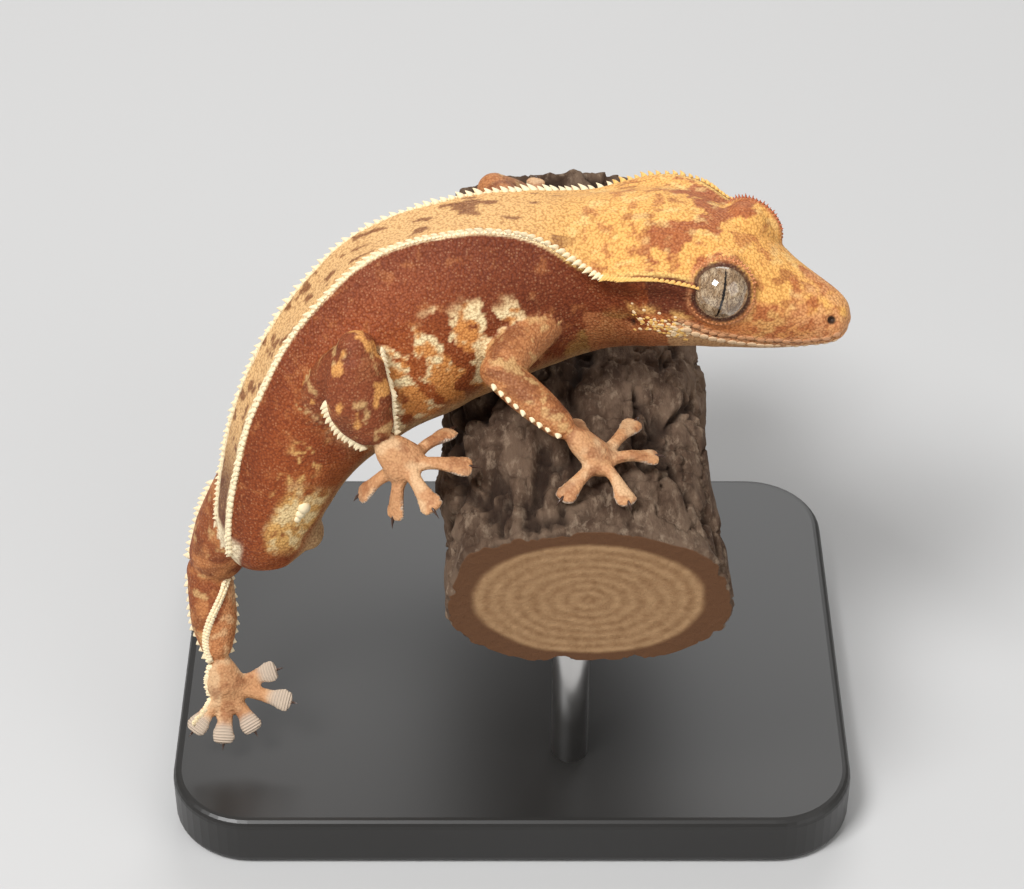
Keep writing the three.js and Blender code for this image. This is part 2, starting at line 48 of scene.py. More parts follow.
class Curve:
    """A centripetal curve through points, read at shares from 0 to 1."""

    def __init__(self, points):
        p = np.array(points, float)
        self.points = np.vstack([2 * p[0] - p[1], p, 2 * p[-1] - p[-2]])
        self.count = len(p) - 1

    def at(self, share):
        place = np.clip(np.atleast_1d(share), 0, 1) * self.count
        i = np.minimum(place.astype(int), self.count - 1)
        w = (place - i)[:, None]
        p0, p1, p2, p3 = (self.points[i + k] for k in range(4))
        gaps = [np.maximum(length(b - a), 1e-8)[:, None] for a, b in ((p0, p1), (p1, p2), (p2, p3))]
        d0, d1, d2 = (gap**0.5 for gap in gaps)
        m1 = ((p1 - p0) / d0 - (p2 - p0) / (d0 + d1) + (p2 - p1) / d1) * d1
        m2 = ((p2 - p1) / d1 - (p3 - p1) / (d1 + d2) + (p3 - p2) / d2) * d1
        return p1 + m1 * w + (-3 * p1 + 3 * p2 - 2 * m1 - m2) * w**2 + (2 * p1 - 2 * p2 + m1 + m2) * w**3

    def way(self, share):
        share = np.atleast_1d(share)
        d = self.at(np.minimum(share + 1e-3, 1)) - self.at(np.maximum(share - 1e-3, 0))
        return d / length(d)[:, None]


def length(v):
    return np.linalg.norm(v, axis=-1)


def unit(v):
    v = np.asarray(v, float)
    return v / np.maximum(length(v)[..., None], 1e-9)


def turns(count):
    """Angles all the way round, in so many equal steps."""
    return 2 * np.pi * np.arange(count) / count


def squared(value, power):
    """A sine or cosine bent so that it draws a rounded square, not a circle."""
    return np.sign(value) * np.abs(value) ** power


def loft(rings):
    """Points and faces of a closed skin over rings, of shape (rings, sides, 3), with a middle point at each end."""
    count, sides, _ = rings.shape
    i = np.arange(count - 1)[:, None] * sides
    k = np.arange(sides)[None, :]
    n = (k + 1) % sides
    quads = np.stack([i + k, i + n, i + sides + n, i + sides + k], -1).reshape(-1, 4).tolist()
    points = np.vstack([rings.reshape(-1, 3), rings[0].mean(0), rings[-1].mean(0)])
    k, n, first, final = k[0], n[0], count * sides, count * sides + 1
    quads += [(int(first), int(b), int(a)) for a, b in zip(k, n)]
    start = (count - 1) * sides
    quads += [(int(final), int(start + a), int(start + b)) for a, b in zip(k, n)]
    return points, quads


def tube(path, wide, deep, facing, sides=28, steps=36, blunt=0.12):
    """A limb's flesh along a path, half as wide and deep as the tables say, rounded at both ends."""
    line, size = Curve(path), Curve([(w, d, 0) for w, d in zip(wide, deep)])
    share = (1 - np.cos(np.pi * np.arange(steps + 1) / steps)) / 2
    end = np.minimum(1, np.minimum(share, 1 - share) / blunt)
    swell = np.sqrt(np.maximum(1 - (1 - end) ** 2, 0.002))[:, None, None]
    way = line.way(share)
    across = unit(np.cross(way, np.asarray(facing, float)))
    out = np.cross(across, way)
    s = size.at(share)
    a = turns(sides)
    ring = across[:, None] * (s[:, 0:1] * np.cos(a))[:, :, None] + out[:, None] * (s[:, 1:2] * np.sin(a))[:, :, None]
    return loft(line.at(share)[:, None] + ring * swell)


def globe(centre, radius, sides=28, steps=16, squash=(1, 1, 1)):
    """A closed ball of rings, squashed along the axes if asked."""
    a = turns(sides)
    h = np.pi * (np.arange(steps) + 0.5) / steps
    ring = np.stack([np.sin(h)[:, None] * np.cos(a), np.sin(h)[:, None] * np.sin(a), np.cos(h)[:, None] + 0 * a], -1)
    return loft(np.asarray(centre) + radius * ring[::-1] * np.asarray(squash))


# Each row: the place, half the width, the height over and under, the ridge along the back's edge, its angle, the roll
BODY = np.array(
    [
        (43.0, -10.7, 74.6, 1.9, 1.7, 1.6, 0.0, 60, 0),
        (41.3, -10.3, 74.7, 3.4, 2.8, 2.9, 0.0, 60, 0),
        (37.9, -9.3, 75.2, 4.9, 4.0, 4.6, 0.1, 60, 0),
        (33.6, -7.9, 75.8, 6.7, 5.3, 6.1, 0.3, 60, 0),
        (28.7, -6.0, 76.6, 8.7, 7.1, 7.7, 0.6, 58, 0),
        (23.8, -4.1, 77.2, 10.2, 8.3, 9.0, 1.6, 58, 0),
        (18.8, -2.3, 77.0, 11.0, 9.2, 9.6, 2.7, 60, 0),
        (13.4, -1.4, 75.9, 10.0, 9.6, 9.7, 1.8, 59, 0),
        (8.5, -1.4, 74.9, 9.3, 10.6, 10.2, 0.9, 46, 0),
        (3.6, -2.0, 74.2, 9.9, 11.5, 10.8, 0.7, 30, 2),
        (-3.9, -3.6, 73.2, 11.0, 12.6, 12.0, 0.7, 21, 7),
        (-13.0, -6.2, 70.5, 11.3, 13.1, 12.4, 0.7, 18, 13),
        (-20.9, -9.4, 65.7, 10.2, 11.3, 11.0, 0.6, 18, 14),
        (-26.9, -12.4, 58.8, 8.6, 9.2, 8.8, 0.5, 19, 12),
        (-30.8, -14.5, 51.0, 7.2, 7.3, 7.4, 0.4, 21, 10),
        (-33.5, -15.9, 43.8, 6.1, 5.6, 6.8, 0.3, 24, 8),
        (-35.6, -17.0, 38.6, 3.9, 3.2, 3.9, 0.2, 26, 6),
    ]
)
LAST = len(BODY) - 1
RIDGE_WIDE = 0.17  # radians round the body
SQUARE = 0.92  # 1 would be round, less is squarer
END_SHARE = 0.035  # of the trunk's length, rounded off at each end
core, girth, ridge = Curve(BODY[:, :3]), Curve(BODY[:, 3:6]), Curve(BODY[:, 6:9])


def body_frame(share):
    """Places on the core line, and the ways ahead, to the left and out of the back there."""
    ahead = -core.way(share)
    left = unit(np.cross((0, 0, 1), ahead))
    back = np.cross(ahead, left)
    roll = np.radians(ridge.at(share)[:, 2:3])
    rolled = left * np.cos(roll) - back * np.sin(roll)
    return core.at(share), ahead, rolled, np.cross(ahead, rolled)


def skin_at(share, angle, grow=0.0):
    """Points of the trunk's skin at shares along it and angles from the middle of the back, positive on the left."""
    share, angle = np.broadcast_arrays(np.asarray(share, float), np.asarray(angle, float))
    shape, share, angle = share.shape, share.ravel(), angle.ravel()
    at, _, left, back = body_frame(share)
    size, edge = girth.at(share), ridge.at(share)
    bulge = edge[:, 0] * np.exp(-(((np.abs(angle) - np.radians(edge[:, 1])) / RIDGE_WIDE) ** 2)) + grow
    height = np.where(np.cos(angle) > 0, size[:, 1], size[:, 2])
    end = np.clip(np.minimum(share, 1 - share) / END_SHARE, 0, 1)
    full = np.sqrt(np.maximum(1 - (1 - end) ** 2, 0.01))
    across = squared(np.sin(angle), SQUARE) * (size[:, 0] + bulge) * full
    up = squared(np.cos(angle), SQUARE) * (height + bulge) * full
    return (at + left * across[:, None] + back * up[:, None]).reshape(*shape, 3)


rings, sides = 420, 120
along = (1 - np.cos(np.pi * np.linspace(0, 1, rings))) / 2
along = 0.25 * along + 0.75 * np.linspace(0, 1, rings)
trunk = loft(skin_at(along[:, None], np.linspace(0, 2 * np.pi, sides + 1)[None, :-1] - np.pi))

snout = BODY[0, :3]
head_ahead = unit(snout - BODY[6, :3])
head_left = unit(np.cross((0, 0, 1), head_ahead))
head_up = np.cross(head_ahead, head_left)


def head_point(behind, aside, above):
    """A place behind, to the left of and above the tip of the snout."""
    return snout - head_ahead * behind + head_left * aside + head_up * above


EYE_RADIUS, EYE_BEHIND, EYE_ASIDE, EYE_ABOVE = 3.7, 15.9, 6.9, 4.5
RIM, HOOP, HOOP_SIDES = 0.6, 60, 14  # the lid rim's thickness, and its steps both ways round
eyes = {}
for name, side, upward in (("left", 1, 0.12), ("right", -1, 0.45)):
    centre = head_point(EYE_BEHIND, side * EYE_ASIDE, EYE_ABOVE)
    facing = unit(head_left * side + head_up * upward + head_ahead * 0.26)
    upright = unit(head_up - facing * np.dot(head_up, facing))
    eyes[name] = (centre, facing, upright, np.cross(upright, facing))

flesh = [("trunk", trunk)]
turn, small = turns(HOOP), turns(HOOP_SIDES)
hoop_faces = []
for i in range(HOOP):
    here, there = i * HOOP_SIDES, (i + 1) % HOOP * HOOP_SIDES
    for k in range(HOOP_SIDES):
        after = (k + 1) % HOOP_SIDES
        hoop_faces.append((here + k, here + after, there + after, there + k))
for centre, facing, upright, aside in eyes.values():
    flesh.append(("trunk", globe(centre + head_up * 1.5 - facing * 1.9, 3.4)))
    flesh.append(("trunk", globe(centre - facing * 1.1, 4.15)))
    radial = upright * np.cos(turn)[:, None] + aside * np.sin(turn)[:, None]
    hoop = centre + facing * 0.75 + radial[:, None] * (EYE_RADIUS + 0.15 + RIM * np.cos(small)[None, :, None])
    hoop = hoop + facing * (RIM * np.sin(small))[None, :, None]
    flesh.append(("trunk", (hoop.reshape(-1, 3), hoop_faces)))
for side in (1, -1):
    flesh.append(("trunk", globe(skin_at(14.75 / LAST, side * 2.75, -1.2), 2.5, squash=(1, 1, 1.1))))

# Limbs: joints from the root to the palm, the way the back of the paw faces, the way the flat of the leg faces,
# the tips of the five toes, and half the width and depth of the upper and lower lengths, the palm and the toes
ARM = (((3.6, 3.2, 2.5), (3.6, 3.0, 2.4)), ((2.4, 2.5, 1.5), (2.3, 2.2, 1.4)), 2.5, 1.15)
LIMBS = {
    "arm_right": (
        [(4.9, -7.0, 74.3), (-1.8, -18.5, 72.6), (7.5, -24.7, 67.4), (11.2, -25.9, 64.2)],
        (0.1, -0.1, 1),
        (0.1, -0.1, 1),
        [(7.5, -17.2, 63.6), (15.9, -17.4, 63.6), (18.6, -24.4, 63.4), (14.5, -33.0, 62.8), (6.0, -32.2, 62.8)],
        ARM,
    ),
    "arm_left": (
        [(2.9, 5.3, 74.4), (-2.4, 17.4, 75.2), (2.2, 26.3, 67.6), (3.7, 29.4, 64.2)],
        (0.1, 0.1, 1),
        (0.1, 0.1, 1),
        [(10.6, 26.6, 63.6), (10.0, 34.2, 63.4), (3.4, 37.4, 63.2), (-3.0, 34.6, 63.2), (-4.2, 28.0, 63.2)],
        ARM,
    ),
    "leg_right": (
        [(-28.2, -15.4, 56.4), (-19.4, -18.6, 76.0), (-16.6, -22.8, 64.8), (-13.4, -24.2, 62.2)],
        (-0.45, -0.2, 0.87),
        (0.2, -1, 0.1),
        [(-7.6, -17.6, 62.2), (-4.8, -24.6, 61.8), (-9.6, -30.4, 59.4), (-15.0, -27.8, 55.6), (-19.6, -24.4, 56.6)],
        (((4.6, 4.4, 2.6), (4.4, 3.2, 2.4)), ((3.2, 4.2, 2.3), (2.9, 2.8, 1.8)), 2.9, 1.3),
    ),
    "leg_left": (
        [(-33.8, -11.0, 50.0), (-41.2, -13.2, 33.6), (-40.2, -19.0, 22.6), (-39.2, -20.4, 18.8)],
        (0, 0.77, -0.64),
        (0, 0.77, -0.64),
        [(-32.2, -19, 20.6), (-30.2, -21.8, 17), (-35.4, -23.8, 13.2), (-39.8, -25, 12), (-44, -24.2, 13.6)],
        (((4.6, 4.8, 3.3), (4.8, 4.4, 3.2)), ((3.1, 3.2, 1.7), (3.0, 2.8, 1.6)), 2.8, 1.25),
    ),
}
toes = {}
lengths = {}
for name, (joints, facing, flat, tips, (upper, lower, palm_wide, toe_wide)) in LIMBS.items():
    root, bend, cuff, palm = (np.array(j) for j in joints)
    facing = np.array(facing, float)
    calf = (bend + cuff) / 2 + (np.array((-1.1, -0.8, -0.4)) if name == "leg_right" else 0)
    lengths[name, "upper"] = ([root, (root + bend) / 2, bend], *upper, flat)
    lengths[name, "lower"] = ([bend, calf, cuff], *lower, flat)
    for part in ("upper", "lower"):
        flesh.append((f"{name} {part}", tube(*lengths[name, part])))
    flesh.append((name + " lower", globe(bend, min(upper[0][2], lower[0][0]) * 0.98)))
    start, end = cuff + (palm - cuff) * -0.15, cuff + (palm - cuff) * 1.35
    flesh.append((name + " paw", tube([start, palm, end], (1.5, palm_wide, 1.9), (1.4, 1.5, 1.1), facing, blunt=0.2)))
    wide = np.array([0.9, 0.75, 0.95, 1.35, 1.1]) * toe_wide
    for number, tip in enumerate(tips):
        tip = np.array(tip)
        path = [palm + (tip - palm) * share for share in (0.12, 0.5, 0.8, 1.0)]
        path[1] = path[1] + facing * 0.55
        path[2] = path[2] + facing * 0.1
        toe = tube(path, wide, (0.85, 0.75, 0.62, 0.55, 0.5), facing, 20, 30, blunt=0.1)
        flesh.append((f"{name} toe{number}", toe))
        toes[name, number] = (path, facing)


def meshed(name, forms):
    """A new object from lists of points and faces in millimetres."""
    faces, start = [], 0
    for form_points, form_faces in forms:
        faces += [[start + i for i in face] for face in form_faces]
        start += len(form_points)
    mesh = bpy.data.meshes.new(name)
    mesh.from_pydata((np.vstack([form_points for form_points, _ in forms]) * MM).tolist(), [], faces)
    made = bpy.data.objects.new(name, mesh)
    bpy.context.collection.objects.link(made)
    return made


def turned_out(made):
    """Faces made to point outwards, and smooth."""
    work = bmesh.new()
    work.from_mesh(made.data)
    bmesh.ops.recalc_face_normals(work, faces=work.faces)
    work.to_mesh(made.data)
    work.free()
    made.data.shade_smooth()
    return made


def shaped(made, name, kind, **settings):
    """Applies a modifier to an object."""
    bpy.context.view_layer.objects.active = made
    modifier = made.modifiers.new(name, kind)
    for key, value in settings.items():
        setattr(modifier, key, value)
    bpy.ops.object.modifier_apply(modifier=name)


skin = turned_out(meshed("gecko_skin", [form for _, form in flesh]))
voxel = 0.36
shaped(skin, "one skin", "REMESH", mode="VOXEL", voxel_size=voxel * MM, use_smooth_shade=True)
shaped(skin, "soft joins", "SMOOTH", factor=0.6, iterations=5)

# Markings of the skin. Pigment in the living skin: a pale orange crown and back between two cream ridges, red brown
# flanks with jagged cream patches, tan limbs; the dark rim round each eye is painted shade. Every point is told its
# place along and round the body, its distance from the mouth, the ridges and the eyes, and the colours are laid over
# one another from those.


def read(made, key):
    """The place or the normal of every point of an object."""
    values = np.empty(len(made.data.vertices) * 3)
    made.data.vertices.foreach_get(key, values)
    return values.reshape(-1, 3)


at = read(skin, "co") / MM
count = len(at)
places = np.vstack([form_points for _, (form_points, _) in flesh])
labels = [label for label, (form_points, _) in flesh for _ in form_points]
tree = KDTree(len(places))
for index, place in enumerate(places):
    tree.insert(place, index)
tree.balance()
nearest = np.array([tree.find(place)[1] for place in at])
names = sorted(set(labels))
label_of = np.array([names.index(label) for label in labels])[nearest]


def on(*words):
    """Which points of the skin belong to parts whose names hold all these words."""
    chosen = [i for i, name in enumerate(names) if all(word in name for word in words)]
    return np.isin(label_of, chosen)


def hashed(cells, salt):
    """A fixed random value from 0 to 1 for every cell of a grid."""
    with np.errstate(over="ignore"):
        h = cells[..., 0] * 73856093 ^ cells[..., 1] * 19349663 ^ cells[..., 2] * 83492791 ^ salt * 2654435761
        h = (h ^ (h >> 13)) * 1274126177
    return ((h ^ (h >> 16)) & 0xFFFF) / 65535.0


def cloud(places, size, salt, layers=3):
    """Smooth random values from 0 to 1 at places, in patches about as large as size."""
    total, weight = 0.0, 0.0
    for layer in range(layers):
        p = places / (size / 2**layer)
        i = np.floor(p).astype(np.int64)
        f = p - i
        f = f * f * (3 - 2 * f)
        value = 0.0
        for corner in range(8):
            step = np.array([corner & 1, corner >> 1 & 1, corner >> 2 & 1])
            share = np.prod(np.where(step, f, 1 - f), axis=-1)
            value = value + share * hashed(i + step, salt + layer)
        total, weight = total + value / 2**layer, weight + 1 / 2**layer
    return total / weight


def soft(value, start, end):
    """0 up to start, 1 from end on, smooth between."""
    share = np.clip((value - start) / (end - start), 0, 1)
    return share * share * (3 - 2 * share)


def fade(value, start, end):
    return 1 - soft(value, start, end)


def within(value, start, full, fading, end):
    """0 up to start and from end on, 1 from full to fading, smooth between."""
    return soft(value, start, full) * fade(value, fading, end)


shares = np.linspace(0, 1, 801)
line = core.at(shares)
share = np.empty(count)
CHUNK = 20000  # points at a time
for start in range(0, count, CHUNK):
    gap = at[start : start + CHUNK, None, :] - line[None]
    share[start : start + CHUNK] = shares[np.argmin((gap**2).sum(-1), axis=1)]
for _ in range(2):
    middle, ahead, left, back = body_frame(share)
    run = length(core.at(np.minimum(share + 1e-3, 1)) - core.at(np.maximum(share - 1e-3, 0))) / 2e-3
    share = np.clip(share - ((at - middle) * ahead).sum(1) / run, 0, 1)
middle, ahead, left, back = body_frame(share)
angle = np.arctan2(((at - middle) * left).sum(1), ((at - middle) * back).sum(1))
round_by = np.abs(angle)
from_edge = (round_by - np.radians(ridge.at(share)[:, 1])) * length(at - middle)
station = share * LAST
head = at - snout
behind, aside, above = -(head @ head_ahead), head @ head_left, head @ head_up
MOUTH = np.array(
    [(-2, -0.4), (0, -0.4), (1.5, -1.2), (4.7, -2.1), (10.8, -2.1), (15.5, -1.6), (19, -0.4), (21.3, 0)]
)
from_mouth = above - np.interp(behind, MOUTH[:, 0], MOUTH[:, 1])
trunk_part = on("trunk")
# Behind the lids' opening the eye counts as farther, so that the rim's colours stay on the open side
OPENING = 0.6
eye_gaps = []
for centre, facing, _, _ in eyes.values():
    sunk = np.maximum(OPENING - (at - centre) @ facing, 0)
    eye_gaps.append(length(at - centre) - EYE_RADIUS + 2 * sunk)
eye_gap = np.minimum(*eye_gaps)
nostrils = [head_point(1.9, side * 3.0, 1.6) for side in (1, -1)]
ears = [head_point(25.6, side * 10.4, -1.4) for side in (1, -1)]
nostril_gap = np.minimum(*[length(at - p) for p in nostrils])
ear_gap = np.minimum(*[length((at - p) * (1, 1, 0.6)) for p in ears])

# The lips' fold, the nostrils, the ears' cups and shallow folds of loose skin are pressed into the surface
HEAD_END = 5.6
face = trunk_part & (station < HEAD_END) & (behind < 21.5)
normals = read(skin, "normal")
press = np.where(face, 0.10 * np.exp(-(((np.abs(from_mouth) - 0.6) / 0.35) ** 2)), 0)
press = press - np.where(face, 0.24 * np.exp(-((from_mouth / 0.22) ** 2)), 0)
press = press - 0.8 * np.exp(-((nostril_gap / 0.6) ** 2)) - 0.7 * np.exp(-((ear_gap / 0.6) ** 2))
loose = soft(station, 6.5, 8.5) * trunk_part + ~trunk_part * 0.7
press = press + 0.35 * loose * (cloud(at * (1.6, 1, 1), 4.0, 77, 2) - 0.5)
at = at + normals * press[:, None]
skin.data.vertices.foreach_set("co", (at * MM).ravel())
skin.data.update()


def colour(red, green, blue):
    """A colour given as on a paint chart, turned to the renderer's linear light."""
    values = [value / 255 for value in (red, green, blue)]
    return tuple(v / 12.92 if v <= 0.04045 else ((v + 0.055) / 1.055) ** 2.4 for v in values) + (1.0,)


hue = np.tile(colour(150, 73, 31)[:3], (count, 1))


def paint(mask, value, amount=1.0):
    """Lays a colour over the skin where the mask is, from 0 to 1."""
    share = np.clip(np.asarray(mask, float) * amount, 0, 1)[:, None]
    hue[:] = hue * (1 - share) + np.array(colour(*value)[:3]) * share


# Clouds of three sizes, mottling, and waves for the edges of patches
broad, mid, fine = cloud(at, 7.0, 3), cloud(at, 3.0, 5), cloud(at, 1.3, 9)
mottle = cloud(at, 1.7, 51, 4)
wobble = (cloud(at, 2.2, 21) - 0.5) * 2.2
wavy = round_by + wobble * 0.1
# Flank: red brown, darkest beside the neck and under the ridge, with dull olive and tan clouds
paint(soft(broad, 0.42, 0.62) * soft(round_by, 0.9, 1.5), (176, 95, 43), 0.7)
neck_side = within(station, 5.4, 6.6, 9.5, 11.5)
paint(neck_side, (116, 52, 23), 0.85)
paint(fade(from_edge, 1.5, 5.0) * (station > 8), (120, 54, 22), 0.6)
paint(soft(mid, 0.52, 0.66) * neck_side * soft(round_by, 1.4, 1.7), (170, 132, 70), 0.6)
paint(soft(fine, 0.6, 0.75), (196, 126, 72), 0.35)
# Belly: pale tan, speckled
paint(soft(round_by + wobble * 0.06, 2.1, 2.5) * (station > 7), (204, 166, 118), 0.85)
# Lower flank: jagged upright patches, cream above and yellow to orange below
bars = np.sin(station * 10.5 + wobble * 2.2) * 0.5 + 0.5
band = soft(round_by + wobble * 0.2, 1.0, 1.25) * fade(wavy, 2.2, 2.5)
middle_body = within(station, 9.2, 9.8, 12.2, 12.8)
patch = band * middle_body * soft(bars * 0.5 + fine * 0.9 + 0.12 * (round_by - 1.5), 0.6, 0.7)
paint(patch, (222, 150, 80), 0.95)
pale_part = soft(mid * 0.5 + fine * 0.5 + 0.12 * (1.9 - round_by), 0.47, 0.54)
paint(patch * pale_part, (250, 230, 180), 0.95)
spots = within(round_by, 1.0, 1.2, 1.5, 1.7) * within(station, 12.6, 13, 14, 14.4)
paint(spots * soft(fine, 0.6, 0.66), (226, 176, 106), 0.9)
rump_patch = within(station, 13.4, 13.8, 14.7, 15.1) * within(wavy, 1.2, 1.4, 2.0, 2.25)
rump_patch = rump_patch * soft(mid * 0.5 + fine * 0.5, 0.34, 0.44)
paint(rump_patch, (240, 186, 108), 0.95)
paint(rump_patch * soft(fine, 0.48, 0.56), (250, 222, 166), 0.9)
# Back: pale warm tan between the two ridges with brown dashes across it; the crown brighter and more orange
dorsum = fade(from_edge + wobble * 0.25, -0.35, 0.15)
paint(dorsum, (232, 178, 104))
paint(dorsum * soft(station, 7.5, 11.5), (228, 184, 128), 0.95)
paint(dorsum * fade(station, 6.0, 8.5), (243, 182, 98), 0.9)
dash = cloud(at * (0.45, 1, 1), 1.3, 31, 2)
paint(dorsum * soft(station, 7.2, 9.0) * soft(dash + (broad - 0.5) * 0.3, 0.62, 0.68), (128, 72, 38), 0.85)
paint(dorsum * fade(station, 7.0, 8.0) * soft(dash, 0.68, 0.73), (164, 92, 46), 0.7)
tail_end = within(station, 13.2, 14.4, 14.9, 15.1)
paint(dorsum * tail_end * soft(mottle, 0.2, 0.42), (106, 56, 30), 0.9)
blotch = cloud(at, 3.6, 45)
crown = dorsum * within(station, 3.6, 4.2, 5.7, 6.5)
paint(crown * soft(blotch * 0.65 + mottle * 0.35, 0.52, 0.55), (166, 82, 48), 0.85)
snout_top = dorsum * fade(station, 3.0, 3.8)
paint(snout_top * soft(blotch * 0.4 + mottle * 0.6, 0.49, 0.54), (186, 104, 58), 0.75)
paint(dorsum * (station < 8) * soft(fine, 0.58, 0.7), (250, 212, 140), 0.5)
paint(dorsum * (station < 7.5) * soft(mottle, 0.59, 0.64), (180, 102, 54), 0.6)
# Side of the head: tan before the eye, dark brown behind it, orange cheek, pale lips and throat
side_head = (1 - dorsum) * (station < HEAD_END)
paint(side_head * fade(behind, 15.0, 18.0), (224, 154, 88), 0.9)
paint(side_head * fade(behind, 10.0, 14.0) * soft(mottle, 0.42, 0.48), (176, 96, 52), 0.8)
before_eye = side_head * within(behind, 6.0, 8.0, 11.0, 13.0)
paint(before_eye * soft(fine, 0.45, 0.55), (238, 186, 112), 0.6)
paint(side_head * soft(behind, 17.0, 20.0) * soft(above, 0.2, 1.4), (104, 48, 26), 0.85)
cheek = side_head * fade(above, 0.2, 1.6) * soft(behind, 8.0, 13.0)
paint(cheek, (206, 124, 68), 0.75)
streak = np.exp(-(((above - 1.1) / 0.55) ** 2)) * within(behind, 17.5, 19.5, 25.0, 28.0)
paint(streak * soft(fine, 0.42, 0.55) * trunk_part, (238, 184, 108), 0.95)
paint(cheek * soft(fine, 0.5, 0.62) * soft(behind, 14.0, 17.0), (138, 72, 42), 0.6)
paint((station < 8) * (from_mouth < -1.6) * soft(behind, 19.0, 22.0), (176, 110, 66), 0.8)
paint((behind < 21) * (from_mouth < -0.5) * (station < 5.8), (216, 172, 122), 0.85)
paint((behind < 20) * fade(np.abs(from_mouth), 0.8, 1.3) * (station < 5.4), (226, 176, 132), 0.6)
paint(fade(station, 1.9, 2.7) * soft(fine, 0.35, 0.55), (224, 160, 106), 0.7)
# The ridges carry a thin yellow line on the head and a broader cream one along the back
line_width = np.interp(station, [4, 7, 9, 12, 15.6], [0.08, 0.1, 0.22, 0.34, 0.7])
crest_line = fade(np.abs(from_edge + 0.1 + wobble * 0.1), line_width, line_width + 0.3) * trunk_part
paint(crest_line * (station > 4.2), (246, 204, 120), 0.85)
paint(crest_line * soft(station, 8.0, 9.5), (250, 232, 194), 0.95)
paint(soft(station, 14.9, 15.2) * fade(round_by, 0.75, 0.95), (250, 234, 198), 0.95)
# Limbs: brown with tan clouds and pale flecks, the fore limbs paler, the paws pinkish tan
limb = ~trunk_part
paint(limb, (150, 82, 44))
paint(limb * soft(mid, 0.48, 0.6), (196, 130, 78), 0.75)
paint(on("arm"), (204, 140, 88), 0.65)
folded = on("leg_right") & ~on("paw") & ~on("toe")
paint(folded, (134, 66, 36), 0.75)
paint(limb * soft(cloud(at * (1, 1, 2.0), 3.0, 83), 0.56, 0.64), (118, 60, 32), 0.6)
paint(limb * soft(fine, 0.62, 0.72), (226, 186, 126), 0.6)
paint(folded * soft(cloud(at * (1, 1, 0.7), 2.4, 61, 3), 0.58, 0.63), (228, 164, 92), 0.9)


def shin_drift(share):
    """How far across the left shin its seam lies at a share of the way down, from 1 to -1."""
    return 0.92 - 1.6 * soft(share, -0.1, 1.0)


knee, ankle = LIMBS["leg_left"][0][1:3]
down = (knee[2] - at[:, 2]) / (knee[2] - ankle[2])
seam_at = knee[0] + (ankle[0] - knee[0]) * down + 3.1 * shin_drift(down)
inner = on("leg_left", "lower") * soft(at[:, 0] - seam_at, 0.0, 0.7)
paint(inner, (206, 138, 88), 0.85)
paint(inner * soft(fine, 0.5, 0.62), (236, 190, 140), 0.6)
paws = on("paw") | on("toe")
paint(paws, (208, 154, 108), 0.9)
paint(paws * soft(mid, 0.5, 0.62), (234, 198, 154), 0.6)
paint(paws * soft(mottle, 0.52, 0.6), (156, 98, 62), 0.6)
# Round the eye: a dark brown rim, painted shade where the lids meet the ball, then a thin paler ring
paint(fade(eye_gap, 0.3, 0.55), (78, 42, 28), 0.95)
paint(within(eye_gap, 0.5, 0.65, 0.85, 1.1), (198, 132, 88), 0.7)

# Pads under the toes: grey ribs across each toe, told by how far along the toe a point lies
MARKS = 60  # places on the middle line of each toe
ribs = np.zeros(count)
along_toe = np.zeros(count)
for (name, number), (path, facing) in toes.items():
    chosen = on(name, f"toe{number}")
    toe_line = Curve(path)
    marks = toe_line.at(np.linspace(0, 1, MARKS))
    run = np.concatenate([[0], np.cumsum(length(np.diff(marks, axis=0)))])
    gap = ((at[chosen][:, None] - marks[None]) ** 2).sum(-1)
    near = np.argmin(gap, axis=1)
    toe_share = near / (MARKS - 1.0)
    along_toe[chosen] = run[near] + ((at[chosen] - marks[near]) * toe_line.way(toe_share)).sum(1)
    under = ((at[chosen] - marks[near]) @ facing) < 0.1
    ribs[chosen] = under * soft(toe_share, 0.4, 0.6)
paint(ribs, (210, 192, 172), 0.9)


def store(made, name, kind, key, values):
    """A value for every point of an object, for its material to read."""
    stored = made.data.attributes.new(name, kind, "POINT")
    stored.data.foreach_set(key, np.asarray(values, np.float32).ravel())


store(skin, "hue", "FLOAT_COLOR", "color", np.hstack([hue, np.ones((count, 1))]))
for label, values in (
    ("ribs", ribs),
    ("along_toe", along_toe),
    ("from_mouth", np.where(face, from_mouth, 9.0)),
    ("scaly", np.where(paws, 0.4, np.where(limb, 0.8, 1.0))),
    ("pit", np.minimum(nostril_gap - 0.68, ear_gap - 0.55)),
):
    store(skin, label, "FLOAT", "value", values)


def maths(kind, swapped=False):
    """A method for one sum with another value, which comes first if swapped."""

    def method(self, other=0.0):
        both = (other, self) if swapped else (self, other)
        return self.make("Math", 0, enumerate(both), operation=kind)

    return method


